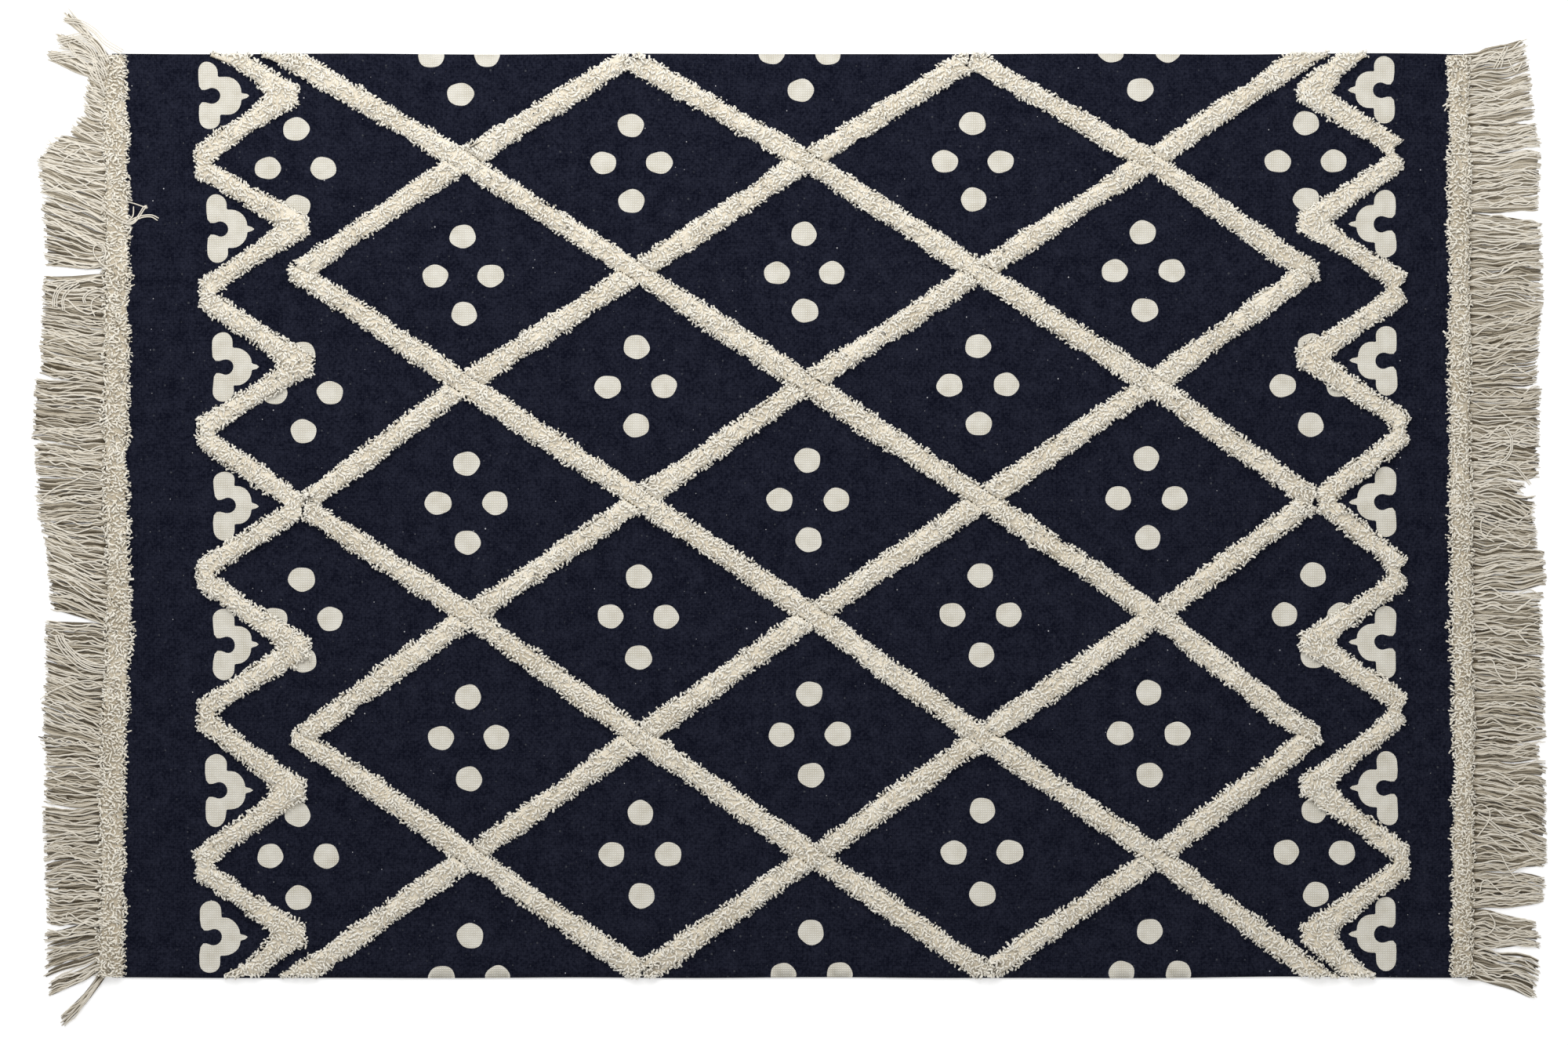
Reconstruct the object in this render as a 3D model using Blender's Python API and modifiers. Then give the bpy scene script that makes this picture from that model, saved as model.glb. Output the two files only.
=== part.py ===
"""Flat cotton rug, nominally 120 by 180 cm: dark printed cloth, tufted ridges and fringed ends.

Metres, +Z up. X runs from fringe to fringe and Y across the rug, from its near edge to its
far edge. The underside lies on Z = 0, and the origin is under the middle of the rug.
"""

import math
import random
from collections import namedtuple

import bmesh
import bpy
from mathutils import Vector

MM = 0.001
GAP = 0.3 * MM

# Every ridge, strip and lock is a sweep: stations along it, and a section in half widths
# across and heights up. A station may state its own direction across, as an (x, y) pair.
Station = namedtuple("Station", "x y half height base across", defaults=(None,))
PILE_SECTION = ((-1, 0), (-0.94, 0.55), (-0.5, 0.94), (0.5, 0.94), (0.94, 0.55), (1, 0))
LOCK_SECTION = ((-1, 0), (0, 1), (1, 0))
BLOCK_SECTION = ((-1, 0), (-1, 1), (1, 1), (1, 0))
SHARP_ANGLE = math.radians(50)

# Ground cloth
CLOTH_THICK = 2.0 * MM
FAR_EDGE = 591 * MM
NEAR_EDGE = -587 * MM
LEFT_END = -860.7 * MM
RIGHT_END = 864.7 * MM
RIGHT_END_LEAN = 2.0 * MM
EDGE_STEPS = 24
EDGE_WAVE = 1.0 * MM

# The crease left by folding the rug in half, a low ridge along X
CREASE_Y = 17 * MM
CREASE_HALF = 18 * MM
CREASE_RISE = 1.2 * MM

# Pile: its ridges are a little uneven, and bridge the crease on a broad low hump
PILE_HALF = 15 * MM
PILE_HEIGHT = 9 * MM
PILE_UNEVEN = 1.6 * MM
PILE_BRIDGE_HALF = 60 * MM
PILE_BRIDGE_RAMP = 40 * MM

# Lattice, in millimetres: a node lies where column number plus row number is even
LATTICE_COLUMNS = (-620, -409, -189, 29, 248, 467, 668)
LatticeRow = namedtuple("LatticeRow", "across shift")
LATTICE_ROWS = (
    LatticeRow(across=585, shift=-14),
    LatticeRow(across=455, shift=-4),
    LatticeRow(across=313, shift=-3),
    LatticeRow(across=170, shift=-3),
    LatticeRow(across=23, shift=2),
    LatticeRow(across=-125, shift=4),
    LatticeRow(across=-280, shift=0),
    LatticeRow(across=-432, shift=5),
    LatticeRow(across=-581, shift=5),
)
LAST_COLUMN = len(LATTICE_COLUMNS) - 1
LAST_ROW = len(LATTICE_ROWS) - 1
JOINT_ROW = 4
RIDGE_STEPS = 7
ARM_SETBACK = 4 * MM
RUN_PAST_EDGE = 45 * MM

# Where the lattice meets the left border it lies a little nearer than the rest of its row
LEFT_JOINT_DROP = 8 * MM

# Ridges that end between the borders and the rug's edges have a blunt tip along Y
TIP_REACH = 12 * MM
TIP_HALF = 12 * MM

# Ridges that reach a long edge of the cloth end about there, this far past it
FAR_OVERHANG = 1.0 * MM
NEAR_OVERHANG = -1.5 * MM

# Zigzag borders, in millimetres, from the far edge to the near one: where each turn lies
# on the left border and on the right one
ZigzagTurn = namedtuple("ZigzagTurn", "kind left right")
ZIGZAG_TURNS = (
    ZigzagTurn("edge", (-739, 612), (741, 613)),
    ZigzagTurn("inner", (-638, 539), (667, 542)),
    ZigzagTurn("outer", (-742, 453), (775, 463)),
    ZigzagTurn("inner", (-626, 372), (667, 376)),
    ZigzagTurn("outer", (-736, 285), (778, 293)),
    ZigzagTurn("inner", (-620, 195), (666, 204)),
    ZigzagTurn("outer", (-738, 108), (782, 113)),
    ZigzagTurn("joint", (-617, 15), (676, 23)),
    ZigzagTurn("outer", (-739, -73), (779, -70)),
    ZigzagTurn("inner", (-624, -166), (670, -160)),
    ZigzagTurn("outer", (-738, -252), (779, -243)),
    ZigzagTurn("inner", (-630, -347), (670, -342)),
    ZigzagTurn("outer", (-742, -442), (782, -438)),
    ZigzagTurn("inner", (-630, -532), (672, -530)),
    ZigzagTurn("edge", (-724, -609), (753, -610)),
)

# A turn has two stations that nearly meet at its inner corner and leave a blunt face at its
# tip, in millimetres: how far the tip and the corner lie from its middle, half the face, and
# where its arms have their own width
TurnForm = namedtuple("TurnForm", "tip corner face_half lead lead_half")
TURN_FORMS = {
    "inner": TurnForm(tip=24, corner=24, face_half=12, lead=34, lead_half=15.5),
    "joint": TurnForm(tip=8, corner=22, face_half=15, lead=34, lead_half=14.5),
    "outer": TurnForm(tip=14.5, corner=12.5, face_half=19, lead=36, lead_half=14.5),
}
CORNER_HALF = 1
TURNS_INWARDS = ("inner", "joint")
INWARD_TURN_SHIFT = 6
EDGE_HALF = 16 * MM
ZIGZAG_HALF = 14.5 * MM

# Bands of pile that cover both ends of the cloth and the heads of the fringes
BAND_HALF = 16.5 * MM
BAND_HEIGHT = 8 * MM
BAND_INSET = 5 * MM
BAND_OVERHANG = 2.5 * MM
BAND_STEP = 40 * MM

# Fringes: a narrow strip beyond each end of the cloth, and locks of yarn rooted in it
STRIP_WIDTH = 10 * MM
STRIP_STEPS = 20
LOCK_PITCH = 12 * MM
LOCK_ROOT_DEPTH = 4 * MM
LOCK_COLLAR = 8 * MM
LOCK_BELLY = 0.4
REACH_UNEVEN = 4 * MM
TIP_UNEVEN = 1.5 * MM
ROOT_UNEVEN = 0.2 * MM

LockForm = namedtuple("LockForm", "half height base")
LOCK_ROOT = LockForm(half=3.5 * MM, height=1.2 * MM, base=0.4 * MM)
LOCK_AT_COLLAR = LockForm(half=4.2 * MM, height=1.8 * MM, base=0)
LOCK_AT_BELLY = LockForm(half=3.6 * MM, height=3.5 * MM, base=0)
LOCK_TIP = LockForm(half=1.6 * MM, height=2.0 * MM, base=0)

# How the locks lie, in millimetres, in clumps from the far edge to the near one: where the
# clump's roots and tips start and stop, and how far its first and last tips reach out
Clump = namedtuple("Clump", "root_from root_to tip_from tip_to reach_from reach_to")
LEFT_CLUMPS = (
    Clump(584, 574, 640, 628, 51, 51),
    Clump(574, 553, 614, 586, 56, 72),
    Clump(553, 530, 556, 530, 20, 20),
    Clump(530, 500, 532, 502, 25, 25),
    Clump(500, 475, 498, 482, 33, 48),
    Clump(475, 455, 482, 459, 71, 93),
    Clump(455, 420, 460, 423, 90, 75),
    Clump(420, 315, 423, 322, 75, 78),
    Clump(310, 180, 306, 181, 80, 84),
    Clump(180, 90, 174, 100, 90, 96),
    Clump(90, -5, 90, -5, 91, 87),
    Clump(-5, -140, -5, -116, 83, 73),
    Clump(-140, -290, -131, -271, 83, 76),
    Clump(-290, -305, -275, -296, 81, 73),
    Clump(-305, -367, -298, -361, 75, 78),
    Clump(-370, -518, -372, -520, 80, 70),
    Clump(-518, -532, -530, -542, 76, 76),
    Clump(-534, -559, -550, -580, 73, 78),
    Clump(-559, -571, -596, -612, 68, 68),
    Clump(-571, -583, -636, -648, 51, 51),
)
RIGHT_CLUMPS = (
    Clump(590, 560, 610, 568, 65, 75),
    Clump(560, 500, 562, 508, 76, 79),
    Clump(500, 480, 502, 486, 83, 83),
    Clump(480, 468, 482, 472, 86, 86),
    Clump(468, 390, 464, 392, 87, 85),
    Clump(390, 285, 382, 280, 87, 90),
    Clump(285, 180, 280, 170, 90, 82),
    Clump(170, 45, 160, 42, 87, 81),
    Clump(45, -40, 25, -40, 85, 78),
    Clump(-40, -92, -45, -85, 89, 92),
    Clump(-94, -104, -96, -101, 88, 88),
    Clump(-105, -285, -110, -283, 86, 87),
    Clump(-285, -308, -288, -308, 79, 79),
    Clump(-310, -448, -315, -445, 88, 89),
    Clump(-455, -500, -462, -490, 87, 87),
    Clump(-500, -545, -515, -548, 74, 84),
    Clump(-548, -587, -565, -610, 83, 74),
)

# Cutters are upright blocks that reach below the cloth and above the pile
CUTTER_FLOOR = -5 * MM
CUTTER_HEIGHT = 35 * MM
TRIM_DEPTH = 100 * MM
TRIM_LENGTH = 2.0


def clear_scene():
    for obj in list(bpy.data.objects):
        bpy.data.objects.remove(obj)


def new_collection(name):
    collection = bpy.data.collections.new(name)
    bpy.context.scene.collection.children.link(collection)
    return collection


def cotton(name, srgb, roughness):
    """A plain cotton finish; srgb is the colour as seen, from 0 to 255."""
    material = bpy.data.materials.new(name)
    material.use_nodes = True
    shader = material.node_tree.nodes["Principled BSDF"]
    linear = [(value / 255) ** 2.2 for value in srgb]
    shader.inputs["Base Color"].default_value = (*linear, 1)
    shader.inputs["Roughness"].default_value = roughness
    shader.inputs["Metallic"].default_value = 0
    return material


def level(y):
    return 0


def across_line(stations, index):
    """The direction across a sweep at one of its stations, to the left of its run."""
    station = stations[index]
    if station.across:
        return Vector(station.across)
    before = stations[max(index - 1, 0)]
    after = stations[min(index + 1, len(stations) - 1)]
    return Vector((before.y - after.y, after.x - before.x)).normalized()


def sweep(name, stations, section, seat=level):
    """A closed solid lofted through the stations.

    The section is a list of (across, up) points in each station's own half width and
    height, and seat gives the height of whatever lies under a point across the rug.
    """
    bm = bmesh.new()
    rings = []
    for index, station in enumerate(stations):
        line = across_line(stations, index)
        ring = []
        for across, up in section:
            x = station.x + line.x * across * station.half
            y = station.y + line.y * across * station.half
            z = station.base + seat(y) + up * station.height
            ring.append(bm.verts.new((x, y, z)))
        rings.append(ring)
    for ring, following in zip(rings, rings[1:]):
        for side in range(len(section)):
            other = (side + 1) % len(section)
            bm.faces.new((ring[side], ring[other], following[other], following[side]))
    bm.faces.new(rings[0])
    bm.faces.new(rings[-1])
    bmesh.ops.recalc_face_normals(bm, faces=bm.faces)
    mesh = bpy.data.meshes.new(name)
    bm.to_mesh(mesh)
    bm.free()
    mesh.shade_smooth()
    mesh.set_sharp_from_angle(angle=SHARP_ANGLE)
    return bpy.data.objects.new(name, mesh)


def add_part(obj, collection, material):
    obj.data.materials.append(material)
    collection.objects.link(obj)
    return obj


def add_cutter(obj, collection):
    obj.hide_render = True
    obj.display_type = "WIRE"
    collection.objects.link(obj)
    return obj


def combine(obj, operation, other):
    modifier = obj.modifiers.new(f"{operation.lower()} {other.name}", "BOOLEAN")
    modifier.operation = operation
    modifier.object = other


def right_end(y):
    """Where the cloth ends on the right, which leans out a little towards the near edge."""
    return RIGHT_END - RIGHT_END_LEAN * y / FAR_EDGE


def build_cloth(collection, material):
    """The ground cloth, one sheet with slightly wavy long edges and the crease."""
    rng = random.Random("cloth edges")
    lines = (NEAR_EDGE, CREASE_Y - CREASE_HALF, CREASE_Y, CREASE_Y + CREASE_HALF, FAR_EDGE)
    last_line = len(lines) - 1
    bm = bmesh.new()
    bmesh.ops.create_grid(bm, x_segments=EDGE_STEPS, y_segments=last_line, size=1)
    for vertex in bm.verts:
        line = round((vertex.co.y + 1) / 2 * last_line)
        y = lines[line]
        if line in (0, last_line):
            y += rng.uniform(-EDGE_WAVE, EDGE_WAVE)
        share = (vertex.co.x + 1) / 2
        x = LEFT_END + (right_end(y) - LEFT_END) * share
        z = CREASE_RISE if lines[line] == CREASE_Y else 0
        vertex.co = (x, y, z)
    mesh = bpy.data.meshes.new("ground_cloth")
    bm.to_mesh(mesh)
    bm.free()
    cloth = bpy.data.objects.new("ground_cloth", mesh)
    thickness = cloth.modifiers.new("cloth thickness", "SOLIDIFY")
    thickness.thickness = CLOTH_THICK
    thickness.offset = 1
    return add_part(cloth, collection, material)


def pile_seat(y):
    """The height of the pile's underside."""
    ramp = (PILE_BRIDGE_HALF + PILE_BRIDGE_RAMP - abs(y - CREASE_Y)) / PILE_BRIDGE_RAMP
    return CLOTH_THICK + GAP + CREASE_RISE * min(max(ramp, 0), 1)


def pile_station(rng, place, half=PILE_HALF, height=PILE_HEIGHT):
    """A station of a pile ridge, with an uneven place, width and height."""
    return Station(
        x=place.x + rng.uniform(-1, 1) * PILE_UNEVEN / 2,
        y=place.y + rng.uniform(-1, 1) * PILE_UNEVEN / 2,
        half=half + rng.uniform(-1, 1) * PILE_UNEVEN,
        height=height + rng.uniform(-1, 1) * PILE_UNEVEN / 2,
        base=0,
    )


def pile_cutter(name, stations, collection):
    """The upright outline of a ridge, wider by the gap, that its neighbours are cut back to."""
    wider = [
        station._replace(half=station.half + GAP, height=CUTTER_HEIGHT, base=CUTTER_FLOOR)
        for station in stations
    ]
    return add_cutter(sweep(f"outline {name}", wider, BLOCK_SECTION), collection)


def edge_trim(name, edge, outward, collection):
    """A block beyond one long edge of the rug, where no pile may stand."""
    bm = bmesh.new()
    bmesh.ops.create_cube(bm, size=1)
    for vertex in bm.verts:
        vertex.co.x *= TRIM_LENGTH
        vertex.co.y = edge + TRIM_DEPTH * (vertex.co.y + 0.5 * outward)
        vertex.co.z = CUTTER_FLOOR + CUTTER_HEIGHT * (vertex.co.z + 0.5)
    mesh = bpy.data.meshes.new(name)
    bm.to_mesh(mesh)
    bm.free()
    return add_cutter(bpy.data.objects.new(name, mesh), collection)


def lattice_node(column, row):
    line = LATTICE_ROWS[row]
    node = Vector((LATTICE_COLUMNS[column] + line.shift, line.across)) * MM
    if (column, row) == (0, JOINT_ROW):
        node.y -= LEFT_JOINT_DROP
    return node


def at_corner(column, row):
    """Whether a ridge crosses the rug's edge at this node without meeting another."""
    return column in (0, LAST_COLUMN) and row in (0, LAST_ROW)


def ridge_stations(rng, nodes, first_overrun, last_overrun):
    """Stations along a straight run of lattice nodes, run on past its first and last one."""
    first = nodes[0] - (nodes[1] - nodes[0]).normalized() * first_overrun
    last = nodes[-1] + (nodes[-1] - nodes[-2]).normalized() * last_overrun
    corners = [first, *nodes[1:-1], last]
    places = []
    for start, stop in zip(corners, corners[1:]):
        places += [start.lerp(stop, step / RIDGE_STEPS) for step in range(RIDGE_STEPS)]
    places.append(corners[-1])
    return [pile_station(rng, place) for place in places]


def falling_overrun(column, row):
    return RUN_PAST_EDGE if at_corner(column, row) else 0


def has_tip(column, row):
    """Whether a ridge ends at this node, clear of the borders and of the rug's edges."""
    return column in (0, LAST_COLUMN) and row not in (0, JOINT_ROW, LAST_ROW)


def tip_station(station, node, outward):
    """The end station of a ridge, moved to its blunt tip; outward is the sign of X there."""
    return station._replace(
        x=node.x + outward * TIP_REACH, y=node.y, half=TIP_HALF, across=(0, 1)
    )


def build_falling_ridges(collection, cutters, material, trims, zigzags):
    """The ridges that run down to the right, whole from side to side.

    Returns each ridge's outline cutter by its column number less its row number.
    """
    outlines = {}
    starts = [(4, 0), (2, 0), (0, 0), (0, 2), (0, 4), (0, 6)]
    for number, (column, row) in enumerate(starts, start=1):
        name = f"pile_falling_{number}"
        edges = min(LAST_COLUMN - column, LAST_ROW - row)
        end_column, end_row = column + edges, row + edges
        nodes = [lattice_node(column + step, row + step) for step in range(edges + 1)]
        stations = ridge_stations(
            random.Random(name),
            nodes,
            falling_overrun(column, row),
            falling_overrun(end_column, end_row),
        )
        if has_tip(column, row):
            stations[0] = tip_station(stations[0], nodes[0], -1)
        if has_tip(end_column, end_row):
            stations[-1] = tip_station(stations[-1], nodes[-1], 1)
        ridge = add_part(sweep(name, stations, PILE_SECTION, pile_seat), collection, material)
        outlines[column - row] = pile_cutter(name, stations, cutters)
        if row == 0:
            combine(ridge, "DIFFERENCE", trims["far"])
        if end_row == LAST_ROW:
            combine(ridge, "DIFFERENCE", trims["near"])
        if row == JOINT_ROW:
            combine(ridge, "DIFFERENCE", zigzags["left"])
        if end_row == JOINT_ROW:
            combine(ridge, "DIFFERENCE", zigzags["right"])
    return outlines


def arm_overrun(column, row):
    if at_corner(column, row):
        return RUN_PAST_EDGE
    return 0 if row in (0, LAST_ROW) else -ARM_SETBACK


def build_rising_arms(collection, cutters_by_line, material, trims, zigzags):
    """The arms that run up to the right, each between two falling ridges."""
    for row in range(1, LAST_ROW + 1):
        for column in range(row % 2, LAST_COLUMN, 2):
            name = f"pile_rising_{row}_{column}"
            end_column, end_row = column + 1, row - 1
            nodes = [lattice_node(column, row), lattice_node(end_column, end_row)]
            stations = ridge_stations(
                random.Random(name),
                nodes,
                arm_overrun(column, row),
                arm_overrun(end_column, end_row),
            )
            arm = add_part(sweep(name, stations, PILE_SECTION, pile_seat), collection, material)
            if row == LAST_ROW:
                combine(arm, "DIFFERENCE", trims["near"])
            if end_row == 0:
                combine(arm, "DIFFERENCE", trims["far"])
            if (column, row) == (0, JOINT_ROW):
                combine(arm, "DIFFERENCE", zigzags["left"])
            if (end_column, end_row) == (LAST_COLUMN, JOINT_ROW):
                combine(arm, "DIFFERENCE", zigzags["right"])
            for line in (column - row, end_column - end_row):
                if line in cutters_by_line:
                    combine(arm, "DIFFERENCE", cutters_by_line[line])


def turn_stations(turn, side, outward):
    """The stations of one turn of a zigzag border, its far one first."""
    corner = Vector(getattr(turn, side))
    if turn.kind == "edge":
        return [Station(*(corner * MM), EDGE_HALF, PILE_HEIGHT, 0)]
    form = TURN_FORMS[turn.kind]
    tip_side = outward
    if turn.kind in TURNS_INWARDS:
        corner.x += outward * INWARD_TURN_SHIFT
        tip_side = -outward
    stations = []
    for far in (1, -1):
        tip = corner + Vector((tip_side * form.tip, far * form.face_half))
        notch = corner + Vector((-tip_side * form.corner, far * CORNER_HALF))
        middle = (tip + notch) / 2 * MM
        across = (tip - notch) * tip_side
        half = across.length / 2 * MM
        stations.append(Station(*middle, half, PILE_HEIGHT, 0, tuple(across.normalized())))
    return stations


def zigzag_stations(rng, side, outward):
    """Stations of one zigzag border; outward is the sign of X towards its end of the rug."""
    turns = [turn_stations(turn, side, outward) for turn in ZIGZAG_TURNS]
    forms = [TURN_FORMS.get(turn.kind) for turn in ZIGZAG_TURNS]
    stations = []
    for index, turn in enumerate(turns[:-1]):
        stations += turn
        start = Vector((turn[-1].x, turn[-1].y))
        stop = Vector((turns[index + 1][0].x, turns[index + 1][0].y))
        arm = stop - start
        places = [(arm.length / 2, ZIGZAG_HALF)]
        if forms[index]:
            places.insert(0, (forms[index].lead * MM, forms[index].lead_half * MM))
        if forms[index + 1]:
            lead = forms[index + 1].lead * MM
            places.append((arm.length - lead, forms[index + 1].lead_half * MM))
        for distance, half in places:
            stations.append(pile_station(rng, start + arm.normalized() * distance, half=half))
    return stations + turns[-1]


def build_zigzags(collection, cutters, material, trims):
    """Both zigzag borders; returns the outline cutter of each."""
    outlines = {}
    for side, outward in (("left", -1), ("right", 1)):
        name = f"pile_zigzag_{side}"
        stations = zigzag_stations(random.Random(name), side, outward)
        border = add_part(sweep(name, stations, PILE_SECTION, pile_seat), collection, material)
        combine(border, "DIFFERENCE", trims["far"])
        combine(border, "DIFFERENCE", trims["near"])
        outlines[side] = pile_cutter(name, stations, cutters)
    return outlines


def build_bands(collection, material):
    """The straight bands of pile over both ends of the cloth."""
    top = FAR_EDGE + BAND_OVERHANG
    bottom = NEAR_EDGE - BAND_OVERHANG
    steps = round((top - bottom) / BAND_STEP)
    for side in ("left", "right"):
        name = f"pile_band_{side}"
        rng = random.Random(name)
        stations = []
        for step in range(steps + 1):
            y = top + (bottom - top) * step / steps
            x = LEFT_END + BAND_INSET if side == "left" else right_end(y) - BAND_INSET
            station = pile_station(rng, Vector((x, y)), BAND_HALF, BAND_HEIGHT)
            stations.append(station._replace(y=y))
        add_part(sweep(name, stations, PILE_SECTION, pile_seat), collection, material)


def lock_stations(rng, root, tip, outward):
    """Stations of one lock of yarn, from inside the strip to its tip on the floor."""
    direction = (tip - root).normalized()
    sideways = Vector((-direction.y, direction.x)) * rng.uniform(-TIP_UNEVEN, TIP_UNEVEN)
    buried = root - Vector((outward * LOCK_ROOT_DEPTH, 0))
    collar = root + direction * LOCK_COLLAR
    belly = collar.lerp(tip, LOCK_BELLY) + sideways
    rooted = LOCK_ROOT._replace(base=LOCK_ROOT.base + rng.uniform(-1, 1) * ROOT_UNEVEN)
    forms = (rooted, LOCK_AT_COLLAR, LOCK_AT_BELLY, LOCK_TIP)
    return [
        Station(place.x, place.y, *form)
        for place, form in zip((buried, collar, belly, tip), forms)
    ]


def blend(start, stop, share):
    return start + (stop - start) * share


def build_fringe(side, clumps, outward, collection, cutters, material):
    """A strip beyond the end of the cloth, with its locks fused to it at their roots."""
    name = f"fringe_{side}"
    rng = random.Random(name)

    def strip_middle(y):
        end = LEFT_END if side == "left" else right_end(y)
        return end + outward * (GAP + STRIP_WIDTH / 2)

    strip_stations = []
    for step in range(STRIP_STEPS + 1):
        y = blend(FAR_EDGE, NEAR_EDGE, step / STRIP_STEPS)
        strip_stations.append(Station(strip_middle(y), y, STRIP_WIDTH / 2, CLOTH_THICK, 0))
    strip = add_part(sweep(name, strip_stations, BLOCK_SECTION), collection, material)
    locks = []
    for clump in clumps:
        count = max(1, round((clump.root_from - clump.root_to) * MM / LOCK_PITCH))
        for index in range(count):
            share = (index + 0.5) / count
            root_y = blend(clump.root_from, clump.root_to, share) * MM
            tip_y = blend(clump.tip_from, clump.tip_to, share) * MM
            reach = blend(clump.reach_from, clump.reach_to, share) * MM
            reach += rng.uniform(-REACH_UNEVEN, REACH_UNEVEN)
            root = Vector((strip_middle(root_y) + outward * STRIP_WIDTH / 2, root_y))
            tip = Vector((root.x + outward * reach, tip_y + rng.uniform(-1, 1) * TIP_UNEVEN))
            locks.append(lock_stations(rng, root, tip, outward))
    combine(strip, "UNION", add_cutter(join_locks(f"locks {side}", locks), cutters))


def join_locks(name, locks):
    """All the locks of one fringe in a single mesh, still apart from each other."""
    bm = bmesh.new()
    for stations in locks:
        lock = sweep("lock", stations, LOCK_SECTION)
        bm.from_mesh(lock.data)
        mesh = lock.data
        bpy.data.objects.remove(lock)
        bpy.data.meshes.remove(mesh)
    mesh = bpy.data.meshes.new(name)
    bm.to_mesh(mesh)
    bm.free()
    return bpy.data.objects.new(name, mesh)


def main():
    clear_scene()
    rug = new_collection("Cotton rug")
    cutters = new_collection("Cutters")
    ground = cotton("Printed ground cloth", (30, 31, 43), 0.95)
    lattice_pile = cotton("Lattice pile", (207, 197, 178), 0.9)
    border_pile = cotton("Border pile", (205, 195, 176), 0.9)
    band_pile = cotton("Band pile", (197, 188, 170), 0.9)
    yarn = cotton("Fringe yarn", (172, 163, 146), 0.9)

    build_cloth(rug, ground)
    trims = {
        "far": edge_trim("trim far", FAR_EDGE + FAR_OVERHANG, 1, cutters),
        "near": edge_trim("trim near", NEAR_EDGE - NEAR_OVERHANG, -1, cutters),
    }
    zigzags = build_zigzags(rug, cutters, border_pile, trims)
    outlines = build_falling_ridges(rug, cutters, lattice_pile, trims, zigzags)
    build_rising_arms(rug, outlines, lattice_pile, trims, zigzags)
    build_bands(rug, band_pile)
    build_fringe("left", LEFT_CLUMPS, -1, rug, cutters, yarn)
    build_fringe("right", RIGHT_CLUMPS, 1, rug, cutters, yarn)


main()
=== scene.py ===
"""Looks of the flat cotton rug: printed cloth, cut-pile ridges and yarn fringes.

Metres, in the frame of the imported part: X from fringe to fringe, Y across the rug towards
its far edge, +Z up, and the floor at Z = 0.
"""

import math
from collections import namedtuple

import bpy
import numpy as np
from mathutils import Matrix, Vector
from mathutils.bvhtree import BVHTree
from mathutils.geometry import delaunay_2d_cdt
from mathutils.kdtree import KDTree


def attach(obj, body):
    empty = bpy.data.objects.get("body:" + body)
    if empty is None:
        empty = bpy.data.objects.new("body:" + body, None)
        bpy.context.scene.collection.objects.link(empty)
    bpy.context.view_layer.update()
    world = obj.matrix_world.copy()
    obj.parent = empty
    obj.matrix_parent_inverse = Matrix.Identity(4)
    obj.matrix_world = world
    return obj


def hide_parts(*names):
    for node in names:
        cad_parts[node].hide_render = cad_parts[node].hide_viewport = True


MM = 0.001

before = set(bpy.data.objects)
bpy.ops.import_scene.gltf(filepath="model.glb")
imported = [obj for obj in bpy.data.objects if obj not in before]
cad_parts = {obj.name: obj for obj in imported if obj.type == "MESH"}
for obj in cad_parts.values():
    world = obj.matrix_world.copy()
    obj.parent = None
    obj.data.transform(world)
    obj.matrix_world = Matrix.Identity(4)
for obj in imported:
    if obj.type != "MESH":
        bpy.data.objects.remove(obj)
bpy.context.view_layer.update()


def rows(kind, *lines):
    """The lines of a table, with their columns named."""
    return tuple(kind(*line) for line in lines)


# Camera, light and floor. The photographed field is 2.000 m wide, seen from above
FIELD_WIDTH = 2.000
FIELD_MIDDLE = (-4.0 * MM, -6.5 * MM)
SENSOR_WIDTH = 36.0
LENS = 100.0
LIGHT_SIZE = (2.6, 1.6)
LIGHT_PLACE = (-0.3, 1.45, 1.9)
LIGHT_AIM = (0, 0.1, 0)
LIGHT_WATTS = 41.5
ROOM_LIGHT = 0.59
FLOOR_SIZE = 12.0
FLOOR_DROP = 0.3 * MM
FLOOR_GLOW = 0.3

# Ground cloth, as in the part
CLOTH_THICK = 2.0 * MM
FAR_EDGE = 591 * MM
NEAR_EDGE = -587 * MM
LEFT_END = -860.7 * MM
RIGHT_END = 864.7 * MM
RIGHT_END_LEAN = 2.0 * MM
EDGE_WAVE = 1.2 * MM
CREASE_Y = 17 * MM
CREASE_HALF = 18 * MM
CREASE_RISE = 1.2 * MM
SWELL = 0.5 * MM
CLOTH_GRID = 14 * MM
OUTLINE_STEP = 12 * MM
CLEAR_OF_OUTLINE = 6 * MM

# Bare dots of the print, in millimetres. Four dots stand round the middle of each diamond,
# which lies where column number plus row number is odd
DotColumn = namedtuple("DotColumn", "along drop")
DOT_COLUMNS = rows(
    DotColumn,
    (-624, 5.5),
    (-411, 4.0),
    (-194, 0.5),
    (24, 0.0),
    (242, -1.5),
    (456, -1.8),
    (666, -1.5),
)
DotRow = namedtuple("DotRow", "across shift pitch")
DOT_ROWS = rows(
    DotRow,
    (591.8, -7.0, 138.5),
    (452.3, -5.0, 141),
    (312.2, -2.0, 143),
    (167.2, 1.2, 145),
    (22.7, 2.5, 147),
    (-126.0, 4.0, 149),
    (-276.9, 4.8, 152),
    (-428.8, 6.4, 154),
    (-583.2, 6.8, 156),
)
# Diamonds whose dots were printed out of line, by row and column
DOTS_OFF_LINE = {(1, 0): (2.5, -1), (3, 0): (5, -2.5), (5, 0): (1.5, 1.5), (7, 0): (-6, 3)}
DOT_ASIDE = 35.8
DOT_ABOVE = 0.345
LOWER_DOT_SHIFT = 1.2
DOT_HALF = 16.6
DOT_HALF_UNEVEN = 0.4
# Half the height of the dots above and below, and of the two beside, and what a row adds
DOT_TALL = 14.8
DOT_TALL_GROWTH = 0.17
DOT_FLAT = 14.0
DOT_FLAT_GROWTH = 0.24
DOT_ASTRAY = 0.8
DOT_UNEVEN = 0.5
DOT_STEPS = 30

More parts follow.
